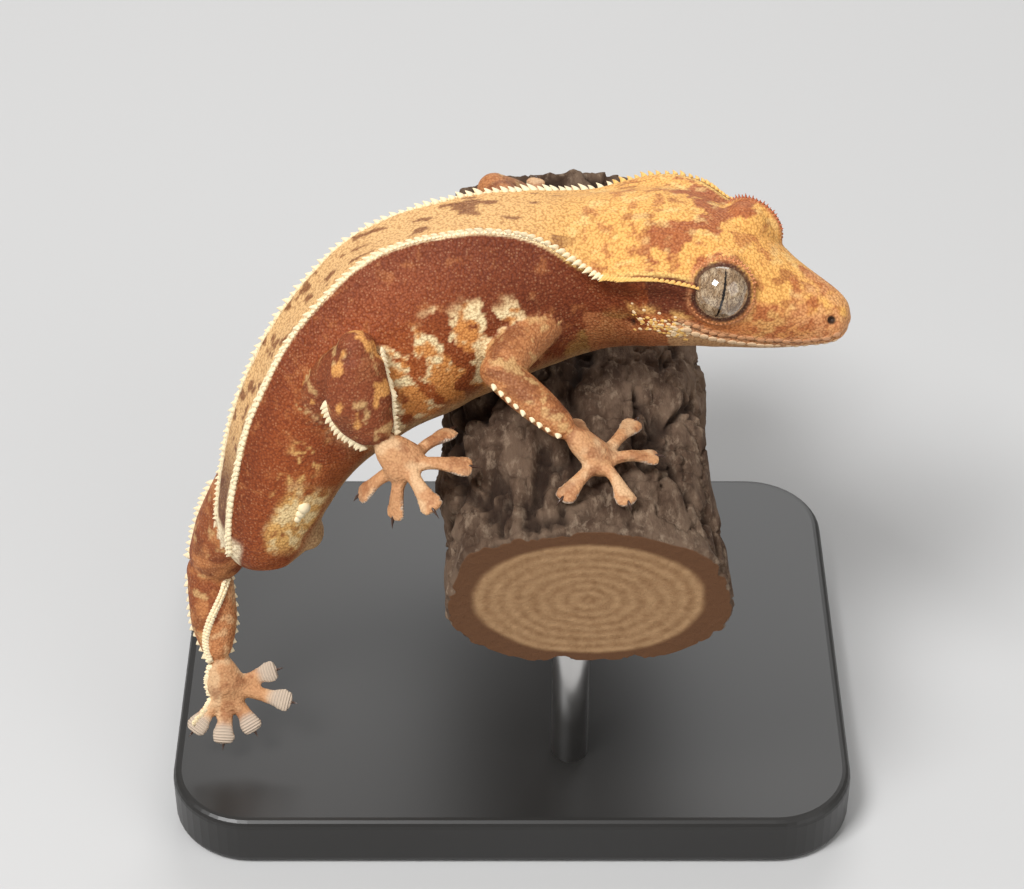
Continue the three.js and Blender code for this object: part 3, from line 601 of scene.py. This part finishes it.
class Socket:
    """A shader value: added, subtracted, multiplied and divided like a number, and fed to other nodes."""

    __add__, __sub__, __rsub__ = maths("ADD"), maths("SUBTRACT"), maths("SUBTRACT", True)
    __mul__ = __rmul__ = maths("MULTIPLY")
    __truediv__, __abs__ = maths("DIVIDE"), maths("ABSOLUTE")
    sine, root = maths("SINE"), maths("SQRT")

    def __init__(self, tree, socket):
        self.tree, self.socket = tree, socket

    def make(self, kind, output=0, inputs=(), **settings):
        made = self.tree.nodes.new("ShaderNode" + kind)
        for key, value in settings.items():
            setattr(made, key, value)
        for key, value in dict(inputs).items():
            if isinstance(value, Socket):
                value.feed(made.inputs[key])
            else:
                made.inputs[key].default_value = value
        return Socket(self.tree, made.outputs[output])

    def feed(self, taker):
        self.tree.links.new(self.socket, taker)

    def step(self, start, end):
        """0 below start, 1 above end, smooth between."""
        inputs = {"Value": self, "From Min": start, "From Max": end}
        return self.make("MapRange", 0, inputs, interpolation_type="SMOOTHSTEP")

    def blend(self, first, second):
        """The first colour where this is 0, the second where it is 1."""
        return self.make("Mix", 2, {0: self, 6: first, 7: second}, data_type="RGBA")

    def noise(self, scale, detail=3.0, rough=0.55):
        inputs = {"Vector": self, "Scale": scale, "Detail": detail, "Roughness": rough}
        return self.make("TexNoise", 0, inputs)


def material(name, **constants):
    """A material with one shader and its constant inputs; also the object's coordinates to start its maths from."""
    made = bpy.data.materials.new(name)
    made.use_nodes = True
    tree = made.node_tree
    shader = tree.nodes["Principled BSDF"]
    for key, value in constants.items():
        shader.inputs[key.replace("_", " ")].default_value = value
    return made, Socket(tree, tree.nodes.new("ShaderNodeTexCoord").outputs["Object"]), shader.inputs


skin_finish, where, into = material("gecko skin", Roughness=0.6, Specular_IOR_Level=0.3)
hue_in, ribs_in, toe_in, mouth_in, scaly_in, pit_in = (
    where.make("Attribute", "Color" if label == "hue" else "Fac", attribute_name=label)
    for label in ("hue", "ribs", "along_toe", "from_mouth", "scaly", "pit")
)
GRAIN, RIB = 0.33, 0.38  # from one tiny scale, and from one rib of a toe, to the next
cells = {"Vector": where, "Scale": 1 / (GRAIN * MM)}
grain = where.make("TexVoronoi", "Distance", cells)
cell = where.make("TexVoronoi", "Color", cells)
tint = where.make("SeparateColor", 0, {"Color": cell})
plain = 1.0 - ribs_in
seam = grain.step(0.38, 0.75) * plain * scaly_in
warm = {0: 1.0, 6: hue_in, 7: (0.42, 0.25, 0.15, 1)}
between = where.make("Mix", 2, warm, data_type="RGBA", blend_type="MULTIPLY")
tone = (seam * 0.5).blend(hue_in, between)
# A pale spot on the crown of some of the tiny scales: a painted highlight, varying at random from scale to scale
pale = tint.step(0.4, 1.0) * (1.0 - grain.step(0.2, 0.5)) * plain
tone = (pale * 0.14).blend(tone, (0.9, 0.66, 0.36, 1))
# The slit between the lips is painted near black: painted shade in the crease of the mouth
lip_crease_shade = 1.0 - abs(mouth_in).step(0.1, 0.24)
tone = (lip_crease_shade * 0.45).blend(tone, (0.06, 0.022, 0.012, 1))
# The nostrils and ear openings are painted nearly black: painted shade inside the holes
pit_shade = 1.0 - pit_in.step(-0.2, 0.1)
tone = (pit_shade * 0.95).blend(tone, (0.014, 0.007, 0.005, 1))
rib_wave = (toe_in * (2 * math.pi / RIB)).sine() * 0.5 + 0.5
tone = (ribs_in * (1.0 - rib_wave) * 0.22).blend(tone, (0.16, 0.12, 0.10, 1))
tone.feed(into["Base Color"])
dome = (1.0 - grain * grain) * plain + rib_wave * ribs_in * 1.1
bump = where.make("Bump", 0, {"Height": dome, "Distance": 0.11 * MM, "Strength": 0.9})
bump.feed(into["Normal"])
skin.data.materials.append(skin_finish)
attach(skin, "root")
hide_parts(*[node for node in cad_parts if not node.startswith(("stand", "perch", "eye"))])

# Crest: two rows of soft pointed scales, one on each ridge from over the eye to the stub of the tail, with round
# scales at their foot along the back. Small and close on the head, longest on the neck and shoulders, low and bead
# like farther back; each grows out of the skin.
SIDES = 8
rng = np.random.default_rng(11)


def spike(place, out, long, wide, lean=(0, 0, 0), flat=1.0, across=None):
    """A tapered scale with its root sunk in the skin, curving as it rises."""
    out = unit(out)
    lean = np.asarray(lean, float)
    side = unit(np.cross(out, across if across is not None else (0.3, 0.5, 0.8)))
    other = np.cross(out, side)
    shares = (-0.35, 0.0, 0.3, 0.6, 0.85, 1.0)
    widths = (1.0, 1.0, 0.8, 0.5, 0.25, 0.06)
    a = turns(SIDES)
    rings = []
    for share, w in zip(shares, widths):
        centre = np.asarray(place) + out * (share * long) + lean * long * max(share, 0) ** 2
        rings.append(centre + wide * w * (side * np.cos(a)[:, None] + flat * other * np.sin(a)[:, None]))
    return loft(np.array(rings))


def bead(place, out, radius, flat, long=1.0, along=(1, 0, 0)):
    """A round scale lying on the skin, longer one way if asked."""
    out = unit(out)
    u = unit(np.asarray(along, float) - out * np.dot(out, along))
    v = np.cross(out, u)
    points, faces = globe((0, 0, 0), 1.0, SIDES, 5)
    shape = points[:, :1] * u * long + points[:, 1:2] * v + flat * points[:, 2:3] * out
    return np.asarray(place) + radius * shape, faces


def rolled_out(count, sides):
    """The corners of every face of a lofted form of count points, slit along one side and rolled out flat."""
    k = np.arange(sides)
    rows = (count - 2) // sides
    row = np.arange(rows - 1)[:, None] + 0 * k
    turn = k + 0 * row
    quads = np.stack([turn, row, turn + 1, row, turn + 1, row + 1, turn, row + 1], -1).reshape(-1, 2)
    first = np.stack([k + 0.5, 0 * k - 1, k + 1, 0 * k, k, 0 * k], -1).reshape(-1, 2)
    final = np.stack([k + 0.5, 0 * k + rows, k, 0 * k + rows - 1, k + 1, 0 * k + rows - 1], -1).reshape(-1, 2)
    return (np.vstack([quads, first, final]) + (0, 1)) / (sides, rows + 1)


# The map's empty edge, the lengths on it along the skin and half round it, and a patch's size
MAP_EDGE, MAP_LONG, MAP_ROUND, PATCH = 0.03, 0.94, 0.47, 0.003


def piece(name, forms, finish, sides=0):
    """One object from lists of points and faces in millimetres, riding on the model. Scales of so many sides
    also get a map, where each is a small patch at its root's place on the unrolled skin."""
    made = meshed(name, forms)
    made.data.materials.append(finish)
    if sides:
        corners = []
        for form_points, _ in forms:
            near = np.argmin(((at - form_points[0]) ** 2).sum(1))
            root = np.array([MAP_EDGE + MAP_LONG * station[near] / LAST, 0.5 + MAP_ROUND * angle[near] / np.pi])
            corners.append(root + PATCH * (rolled_out(len(form_points), sides) - 0.5))
        uv = made.data.uv_layers.new(name="OFBake")
        uv.data.foreach_set("uv", np.vstack(corners).astype(np.float32).ravel())
    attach(turned_out(made), "root")
    return made


def plain_finish(name, shade, roughness=0.5):
    """A material of one colour."""
    return material(name, Roughness=roughness, Base_Color=colour(*shade))[0]


def station_long(share):
    """Millimetres of the core line to one station there."""
    return length(core.at(share + 0.005)[0] - core.at(share - 0.005)[0]) / (0.01 * LAST)


cream_finish = plain_finish("cream scales", (248, 228, 188))
amber_finish = plain_finish("amber scales", (240, 190, 106))
# Each row: the station, how long the spines are there, and how far apart
CREST = np.array(
    [
        (4.45, 0.45, 0.5),
        (6.0, 0.75, 0.6),
        (7.5, 1.05, 0.85),
        (9.0, 0.95, 0.95),
        (10.5, 0.68, 0.85),
        (14.6, 0.5, 0.8),
        (15.6, 0.65, 0.6),
    ]
)
head_spines, back_spines = [], []
for side in (1, -1):
    place = CREST[0, 0]
    while place < CREST[-1, 0]:
        t = place / LAST
        _, way, out_left, out_back = (v[0] for v in body_frame(np.array([t])))
        turn = side * np.radians(ridge.at(t)[0, 1])
        splayed = turn * np.interp(place, [7, 10], [1.28, 1.1])
        out = out_left * math.sin(splayed) + out_back * math.cos(splayed)
        long = np.interp(place, CREST[:, 0], CREST[:, 1]) * rng.uniform(0.75, 1.2)
        apart = np.interp(place, CREST[:, 0], CREST[:, 2])
        spot = skin_at(t, turn)
        wide = np.interp(place, [7, 9], [0.15, 0.22]) + 0.2 * long
        made = spike(spot, out - way * 0.35, long, wide, -way * 0.35, across=way, flat=1.2)
        (head_spines if place < 7.0 else back_spines).append(made)
        place += apart * rng.uniform(0.88, 1.12) / station_long(t)
    # Round scales at the foot of the spines, largest at the stub of the tail
    place = 7.8
    while place < 15.5:
        t = place / LAST
        turn = side * (np.radians(ridge.at(t)[0, 1]) + 0.02)
        size = np.interp(place, [7.8, 12, 15], [0.2, 0.3, 0.48]) * rng.uniform(0.85, 1.15)
        out = skin_at(t, turn, 1) - skin_at(t, turn)
        back_spines.append(bead(skin_at(t, turn), out, size, 0.75, long=1.25, along=core.way(t)[0]))
        place += 1.7 * size / station_long(t)
piece("crest_head", head_spines, amber_finish, SIDES)
piece("crest_back", back_spines, cream_finish, SIDES)

# Lashes: short pointed scales in an arc over each eye, rust coloured over the left and tan over the right, and a
# ring of small round scales on the rim of the lids. They grow out of the rim.
tan_finish = plain_finish("tan scales", (214, 142, 92))
lashes, rim_beads = {"left": [], "right": []}, []
for name, (centre, facing, upright, aside_way) in eyes.items():
    for turn in np.radians(np.linspace(-68, 68, 21)):
        out = upright * math.cos(turn) + aside_way * math.sin(turn)
        spot = centre + facing * 0.8 + out * (EYE_RADIUS + RIM)
        long = (0.25 + 0.3 * math.cos(turn)) * rng.uniform(0.7, 1.25)
        lashes[name].append(spike(spot, out + facing * 0.35, long, 0.18))
    for turn in np.radians(np.arange(0, 360, 7.5)):
        out = upright * math.cos(turn) + aside_way * math.sin(turn)
        spot = centre + facing * 1.15 + out * (EYE_RADIUS + 0.5)
        rim_beads.append(bead(spot, facing + out * 0.8, 0.17 * rng.uniform(0.8, 1.1), 0.4))
piece("eye_lashes_left", lashes["left"], plain_finish("rust scales", (184, 102, 66)), SIDES)
piece("eye_lashes_right", lashes["right"], tan_finish, SIDES)
piece("eye_rim_scales", rim_beads, tan_finish, SIDES)

# Scales of the lips and cheek: a row of flat plates along each lip, cream and amber tubercles behind the corner of
# the mouth, and small spurs beside the vent. Each lies half sunk in the skin.
side_of = np.sign(aside)


def on_face(side, behind_by, above_by):
    """The skin's place and its outward way at a spot of the head seen from the side."""
    chosen = np.flatnonzero(trunk_part & (side_of == side) & (station < 8))
    gap = (behind[chosen] - behind_by) ** 2 + (above[chosen] - above_by) ** 2
    found = chosen[np.argmin(gap)]
    return at[found], normals[found]


upper_lip, lower_lip, tubercles, spurs = [], [], ([], []), []
for side in (1, -1):
    run = 1.0
    while run < 19.5:
        level = np.interp(run, MOUTH[:, 0], MOUTH[:, 1])
        size = 0.5 - 0.1 * run / 20
        spot, out = on_face(side, run, level + 0.62)
        upper_lip.append(bead(spot, out, size * 0.9, 0.13, long=1.4, along=head_ahead))
        spot, out = on_face(side, run, level - 0.66)
        size = size * (0.8 if run < 8 else 1.3)
        lower_lip.append(bead(spot, out, size, 0.22, long=1.2, along=head_ahead))
        run += 1.12 * rng.uniform(0.95, 1.05)
    for number in range(150):
        place = rng.uniform(0, 1)
        spot, out = on_face(side, 18.5 + 7.5 * place, -1.5 + 1.0 * place + rng.normal(0, 0.8))
        spot = spot + unit(np.cross(out, rng.normal(size=3))) * rng.uniform(0, 0.25)
        if length(spot - ears[0 if side == 1 else 1]) > 1.2:
            size = rng.uniform(0.13, 0.3) * (1.3 - 0.5 * place)
            tubercles[number % 2].append(bead(spot - out * 0.03, out, size, 0.35, long=1.2, along=head_ahead))
    for number in range(3):
        t, turn = (13.9 + 0.12 * number) / LAST, side * 1.72
        out = skin_at(t, turn, 1) - skin_at(t, turn)
        spurs.append(bead(skin_at(t, turn), out, 0.95 - 0.2 * number, 0.7))
piece("lip_plates_upper", upper_lip, plain_finish("lip plates", (222, 160, 112), 0.45), SIDES)
piece("lip_plates_lower", lower_lip, plain_finish("pale lip plates", (236, 200, 158), 0.45), SIDES)
piece("cheek_tubercles_pale", tubercles[0], plain_finish("cheek tubercles", (242, 212, 168)), SIDES)
piece("cheek_tubercles_amber", tubercles[1], amber_finish, SIDES)
piece("vent_spurs", spurs, cream_finish, SIDES)

# Fringes of the limbs: single rows of soft pointed cream scales along the edges of the thighs, shins and forearms,
# where the skin is drawn out into a low fold. Each grows out of the skin.
# Each row: the limb and its length, the edge, the shares it runs from and to, how many scales, and how long
FRINGES = (
    ("leg_right", "upper", 1, 0.05, 0.7, 15, 0.8),
    ("leg_right", "lower", 1, 0.45, 0.97, 15, 0.95),
    ("leg_right", "lower", -1, 0.02, 0.98, 23, 0.65),
    ("leg_left", "upper", -1, 0.3, 0.95, 14, 0.8),
    ("leg_left", "lower", -1, 0.05, 0.95, 12, 0.55),
    ("leg_left", "lower", 1, 0.1, 0.9, 9, 0.4),
    ("arm_right", "lower", 1, 0.1, 0.9, 9, 0.55),
    ("arm_left", "lower", -1, 0.1, 0.9, 9, 0.55),
)
fringes = []
for name, part, side, first, final, many, long in FRINGES:
    path, wide, _, flat = lengths[name, part]
    path_line, size = Curve(path), Curve([(w, 0, 0) for w in wide])
    for t in np.linspace(first, final, many):
        t = t + rng.uniform(-0.01, 0.01)
        way = path_line.way(t)[0]
        across = unit(np.cross(way, flat)) * side
        spot = path_line.at(t)[0] + across * (size.at(t)[0, 0] - 0.1)
        grown = long * rng.uniform(0.75, 1.2)
        fringes.append(spike(spot, across + way * 0.3, grown, 0.3 + 0.15 * long, way * 0.2, across=way, flat=1.3))
# On the left leg a raised cream seam of close scales also crosses the shin's outer face from the knee to the ankle,
# and goes on along the foot's edge to the outer toe
shin_path, shin_wide, shin_deep, shin_flat = lengths["leg_left", "lower"]
shin_line, shin_size = Curve(shin_path), Curve([(w, d, 0) for w, d in zip(shin_wide, shin_deep)])
over = -np.array(shin_flat, float)
for number, t in enumerate(np.linspace(0.03, 1.0, 56)):
    way = shin_line.way(t)[0]
    across = unit(np.cross(over, way)) * (shin_drift(t) + 0.06 * (-1) ** number)
    lifted = over * math.sqrt(1 - np.dot(across, across))
    half_wide, half_deep = shin_size.at(t)[0, :2]
    spot = shin_line.at(t)[0] + across * half_wide + lifted * half_deep
    fringes.append(spike(spot, across + lifted * 1.5, 0.5 * rng.uniform(0.8, 1.2), 0.45, way * 0.2, across=way))
outer_toe = toes["leg_left", 4][0]
palm_edge = np.array(LIMBS["leg_left"][0][3]) + (-2.7, -0.3, -0.2)
foot_edge = Curve([spot, palm_edge, outer_toe[1] + (-0.9, -0.7, 0.6), outer_toe[2] + (-0.9, -0.8, 0.6)])
for t in np.linspace(0.02, 1.0, 34):
    near = np.argmin(((at - foot_edge.at(t)[0]) ** 2).sum(1))
    grown = 0.45 * rng.uniform(0.8, 1.2)
    fringes.append(spike(at[near], normals[near], grown, 0.42 - 0.12 * t, across=(0, 0.3, -0.9)))
piece("limb_fringes", fringes, cream_finish, SIDES)

# Claws: a short curved claw of dark brown horn at the end of every toe. It grows out of the toe just above the
# pad, and its root is sunk in the skin.
claws = []
for path, facing in toes.values():
    ahead_of = unit(path[3] - path[2])
    spot = path[3] + facing * 0.25 - ahead_of * 0.3
    claws.append(spike(spot, ahead_of + facing * 0.25, 1.15, 0.22, -facing * 0.5, across=facing, flat=1.4))
piece("claws", claws, plain_finish("claw horn", (70, 46, 34), 0.3))

# Eyes: a clear wet ball with no lid, a silvery brown iris with dark branching veins and a narrow upright slit
# with a ragged edge. It sits in the socket behind the rim of the lids.
eye_finish, spot_in, into = material("eye", Roughness=0.1, Coat_Weight=1.0, Coat_Roughness=0.03)
for name, (centre, facing, upright, aside_way) in eyes.items():
    made = piece("eyeball_" + name, [globe(centre, EYE_RADIUS, 64, 40)], eye_finish)
    local = (read(made, "co") / MM - centre) / EYE_RADIUS
    look = np.stack([local @ aside_way, local @ upright, local @ facing], -1)
    store(made, "look", "FLOAT_VECTOR", "vector", look)
    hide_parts("eye_" + name)
look = spot_in.make("Attribute", "Vector", attribute_name="look")
x, y, z = (look.make("SeparateXYZ", i, {0: look}) for i in range(3))
tall = look.make("Mapping", 0, {"Vector": look, "Scale": (1.6, 0.8, 1.0)})
veins = abs(tall.noise(5.5, 6, 0.68) - 0.5)
tone = tall.noise(3.0, 3).step(0.35, 0.65).blend(colour(152, 123, 91), colour(202, 178, 146))
tone = ((1.0 - veins.step(0.0, 0.05)) * 0.85).blend(tone, colour(66, 38, 24))
tone = (tall.noise(14.0, 4, 0.7).step(0.52, 0.66) * 0.55).blend(tone, colour(84, 58, 42))
bent = x - 0.07 * y - 0.05 + 0.1 * y * y + (look.noise(8.0, 2) - 0.5) * 0.09
slit = 1.0 - (abs(bent) - 0.034 * (1.0 - y * y)).step(0.0, 0.025)
slit = slit * (1.0 - abs(y).step(0.78, 0.86))
tone = slit.blend(tone, (0.006, 0.004, 0.003, 1))
# The ball darkens towards its edge under the rim of the lids: painted shade of the socket
tone = (1.0 - z.step(0.30, 0.52)).blend(tone, (0.018, 0.010, 0.007, 1))
tone.feed(into["Base Color"])

# Perch: a short cut length of cork bark branch, deeply furrowed all round along the grain, dry and grey brown,
# sawn square at both ends. Two rods of the stand are let into its underside.
PERCH_X, PERCH_Z, HALF_WIDE, HALF_HIGH, PERCH_FROM, PERCH_TO = 8, 50.6, 19, 12, -37, 42
PITH_X, SLANT, BOX = 9.5, 0.04, 2.5  # BOX is 2 for a round branch, more for a squarer one
turn = turns(300)
y_rows = np.linspace(PERCH_FROM, PERCH_TO, 240)[:, None]
lump = 0.5 * np.sin(3 * turn + 0.11 * y_rows) + 0.35 * np.sin(7 * turn - 0.23 * y_rows + 1.3) - 0.6
ring_x = squared(np.cos(turn), 2 / BOX) * (HALF_WIDE + lump)
ring_z = squared(np.sin(turn), 2 / BOX) * (HALF_HIGH + 0.6 * lump)
bark_rings = np.stack([PERCH_X + ring_x - SLANT * y_rows, y_rows + 0 * ring_x, PERCH_Z + ring_z], -1)
axis = np.stack([PERCH_X - SLANT * y_rows, y_rows, PERCH_Z + 0 * y_rows], -1)
outward = unit((bark_rings - axis) * (1, 0, 1.6))
grain_at = bark_rings * (1, 0.35, 1)
furrow = np.abs(cloud(grain_at, 6.0, 67, 4) - 0.5) * 2
crack = np.abs(cloud(grain_at * (1, 2.5, 1), 3.4, 71, 3) - 0.5) * 2
depth = -0.1 - 1.5 * (1 - soft(furrow, 0.0, 0.2)) - 0.7 * (1 - soft(crack, 0.0, 0.12))
depth = depth - 0.9 * (1 - cloud(grain_at, 3.0, 61, 4))
from_end = np.minimum(y_rows - PERCH_FROM, PERCH_TO - y_rows)
depth = depth * (0.45 + 0.55 * soft(from_end, 0.0, 3.0)) - 0.5 * (1 - soft(from_end, 0.0, 0.7))
bark_rings = bark_rings + outward * depth[..., None]
bark_finish, bark_at, into = material("cork bark", Roughness=0.95, Specular_IOR_Level=0.15)
perch = piece("cork_bark", [loft(bark_rings[:, ::-1])], bark_finish)
for face_made in perch.data.polygons:
    if len(face_made.vertices) == 3:
        face_made.use_smooth = False
store(perch, "deep", "FLOAT", "value", np.append(depth[:, ::-1].ravel(), (0, 0)))
deep = bark_at.make("Attribute", "Fac", attribute_name="deep")
x, y, z = (bark_at.make("SeparateXYZ", i, {0: bark_at}) for i in range(3))
stretched = bark_at.make("Mapping", 0, {"Vector": bark_at, "Scale": (1.0, 0.4, 1.0)})
tone = stretched.noise(300, 5, 0.7).step(0.4, 0.62).blend(colour(112, 92, 76), colour(78, 60, 48))
tone = (stretched.noise(800, 4, 0.7).step(0.5, 0.7) * 0.7).blend(tone, colour(152, 132, 112))
# The deep furrows are painted nearly black: painted shade in the hollows of the bark
tone = ((1.0 - deep.step(-2.2, -0.9)) * 0.85).blend(tone, colour(44, 32, 26))
sawn = 1.0 - (y - PERCH_FROM * MM).step(0.0, 0.2 * MM)
sawn = sawn + (y - (PERCH_TO - 0.2) * MM).step(0.0, 0.2 * MM)
flat_x, flat_z = (x - PITH_X * MM) / (HALF_WIDE * MM), (z - PERCH_Z * MM) / (HALF_HIGH * MM)
from_pith = (flat_x * flat_x + flat_z * flat_z).root() + (bark_at.noise(90, 3) - 0.5) * 0.12
years = (from_pith * 58.0).sine() * 0.5 + 0.5
wood = years * 0.4 + bark_at.noise(700, 4, 0.7).step(0.3, 0.8) * 0.6
wood = wood.blend(colour(178, 142, 104), colour(136, 100, 68))
wood = from_pith.step(0.74, 0.8).blend(wood, colour(104, 72, 50))
tone = sawn.blend(tone, wood)
tone.feed(into["Base Color"])
grit = stretched.noise(1100, 6, 0.75)
bump = bark_at.make("Bump", 0, {"Height": grit, "Distance": 0.45 * MM, "Strength": 0.8})
bump.feed(into["Normal"])
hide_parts("perch_bark")

# Stand base: one flat board sawn from wood, its corners rounded and its edges eased, painted satin black. It lies
# on the floor, and two blind holes in its top take the rods.
BOARD_LONG, BOARD_DEEP, BOARD_HIGH, CORNER, EASED = 94, 72, 8, 11, 1.2
base_finish, _, _ = material("satin black lacquer", Base_Color=(0.02, 0.019, 0.018, 1), Roughness=0.38)
bpy.ops.mesh.primitive_cube_add(size=1, location=(0, 0, 0))
base = bpy.context.object
base.name = "stand_board"
bpy.ops.object.mode_set(mode="EDIT")
bpy.ops.mesh.select_all(action="SELECT")
bpy.ops.transform.resize(value=(BOARD_LONG * MM, BOARD_DEEP * MM, BOARD_HIGH * MM), center_override=(0, 0, 0))
bpy.ops.transform.translate(value=(0, 0, BOARD_HIGH / 2 * MM))
bpy.ops.mesh.select_mode(type="EDGE")
bpy.ops.mesh.select_all(action="DESELECT")
board = bmesh.from_edit_mesh(base.data)
for edge in board.edges:
    edge.select_set(abs(edge.verts[0].co.z - edge.verts[1].co.z) > 1 * MM)
bmesh.update_edit_mesh(base.data)
bpy.ops.mesh.bevel(offset=CORNER * MM, segments=12, affect="EDGES")
bpy.ops.object.mode_set(mode="OBJECT")
shaped(base, "eased edges", "BEVEL", width=EASED * MM, segments=4, limit_method="ANGLE", angle_limit=math.radians(50))
base.data.materials.append(base_finish)
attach(base, "root")
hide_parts("stand_base")

# Stand rods: two straight lengths of round satin steel, cut square. Each is pressed into a blind hole in the board
# and into one in the underside of the bark, and so carries the perch and the gecko.
ROD_RADIUS, ROD_LONG, ROD_MIDDLE = 2.5, 38.5, 23.3
rod_finish, _, _ = material("satin steel", Base_Color=(0.62, 0.61, 0.6, 1), Metallic=1.0, Roughness=0.3)
for node, y_place in (("stand_rod_front", -22), ("stand_rod_rear", 22)):
    bpy.ops.mesh.primitive_cylinder_add(vertices=48, radius=ROD_RADIUS * MM, depth=ROD_LONG * MM, location=(0, 0, 0))
    rod = bpy.context.object
    rod.name = node + "_steel"
    bpy.ops.object.mode_set(mode="EDIT")
    bpy.ops.transform.translate(value=(PERCH_X * MM, y_place * MM, ROD_MIDDLE * MM))
    bpy.ops.object.mode_set(mode="OBJECT")
    rod.data.materials.append(rod_finish)
    rod.data.shade_smooth()
    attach(rod, "root")
    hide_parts(node)

# Studio: a plain pale floor, three soft square lamps and a pale surround. They are not part of the model. The
# camera stands where the photograph was taken, in front and high up, and sees everything sharp.
floor_finish, _, _ = material("floor", Base_Color=(0.55, 0.55, 0.55, 1), Roughness=0.9)
bpy.ops.mesh.primitive_plane_add(size=6)
floor = bpy.context.object
floor.name = "floor"
floor.data.materials.append(floor_finish)


def aimed(name, data, place, target):
    """A lamp or a camera at a place, facing its target."""
    made = bpy.data.objects.new(name, data)
    bpy.context.collection.objects.link(made)
    made.location = place
    made.rotation_euler = (Vector(target) - Vector(place)).to_track_quat("-Z", "Y").to_euler()
    return made


for name, place, size, power in (
    ("key", (-0.35, -0.35, 0.8), 0.3, 7.8),
    ("fill", (0.7, -0.5, 0.5), 0.7, 2.4),
    ("rim", (0.1, 0.8, 0.6), 0.6, 4),
):
    light = bpy.data.lights.new(name, "AREA")
    light.energy, light.size = power, size
    aimed(name, light, place, (0, 0, 0.06))
world = bpy.context.scene.world or bpy.data.worlds.new("studio")
bpy.context.scene.world = world
world.use_nodes = True
surround = world.node_tree.nodes["Background"]
surround.inputs["Color"].default_value = (1, 0.98, 0.95, 1)
surround.inputs["Strength"].default_value = 0.3

view = bpy.data.cameras.new("camera")
view.lens, view.sensor_width, view.clip_start = 97.5, 36, 0.01
elevation, distance = math.radians(40), 0.38
target = Vector((0, 0, 0.045))
place = target + Vector((0, -math.cos(elevation), math.sin(elevation))) * distance
camera = aimed("camera", view, place, target)
bpy.context.scene.camera = camera
bpy.context.scene.view_settings.view_transform = "Standard"
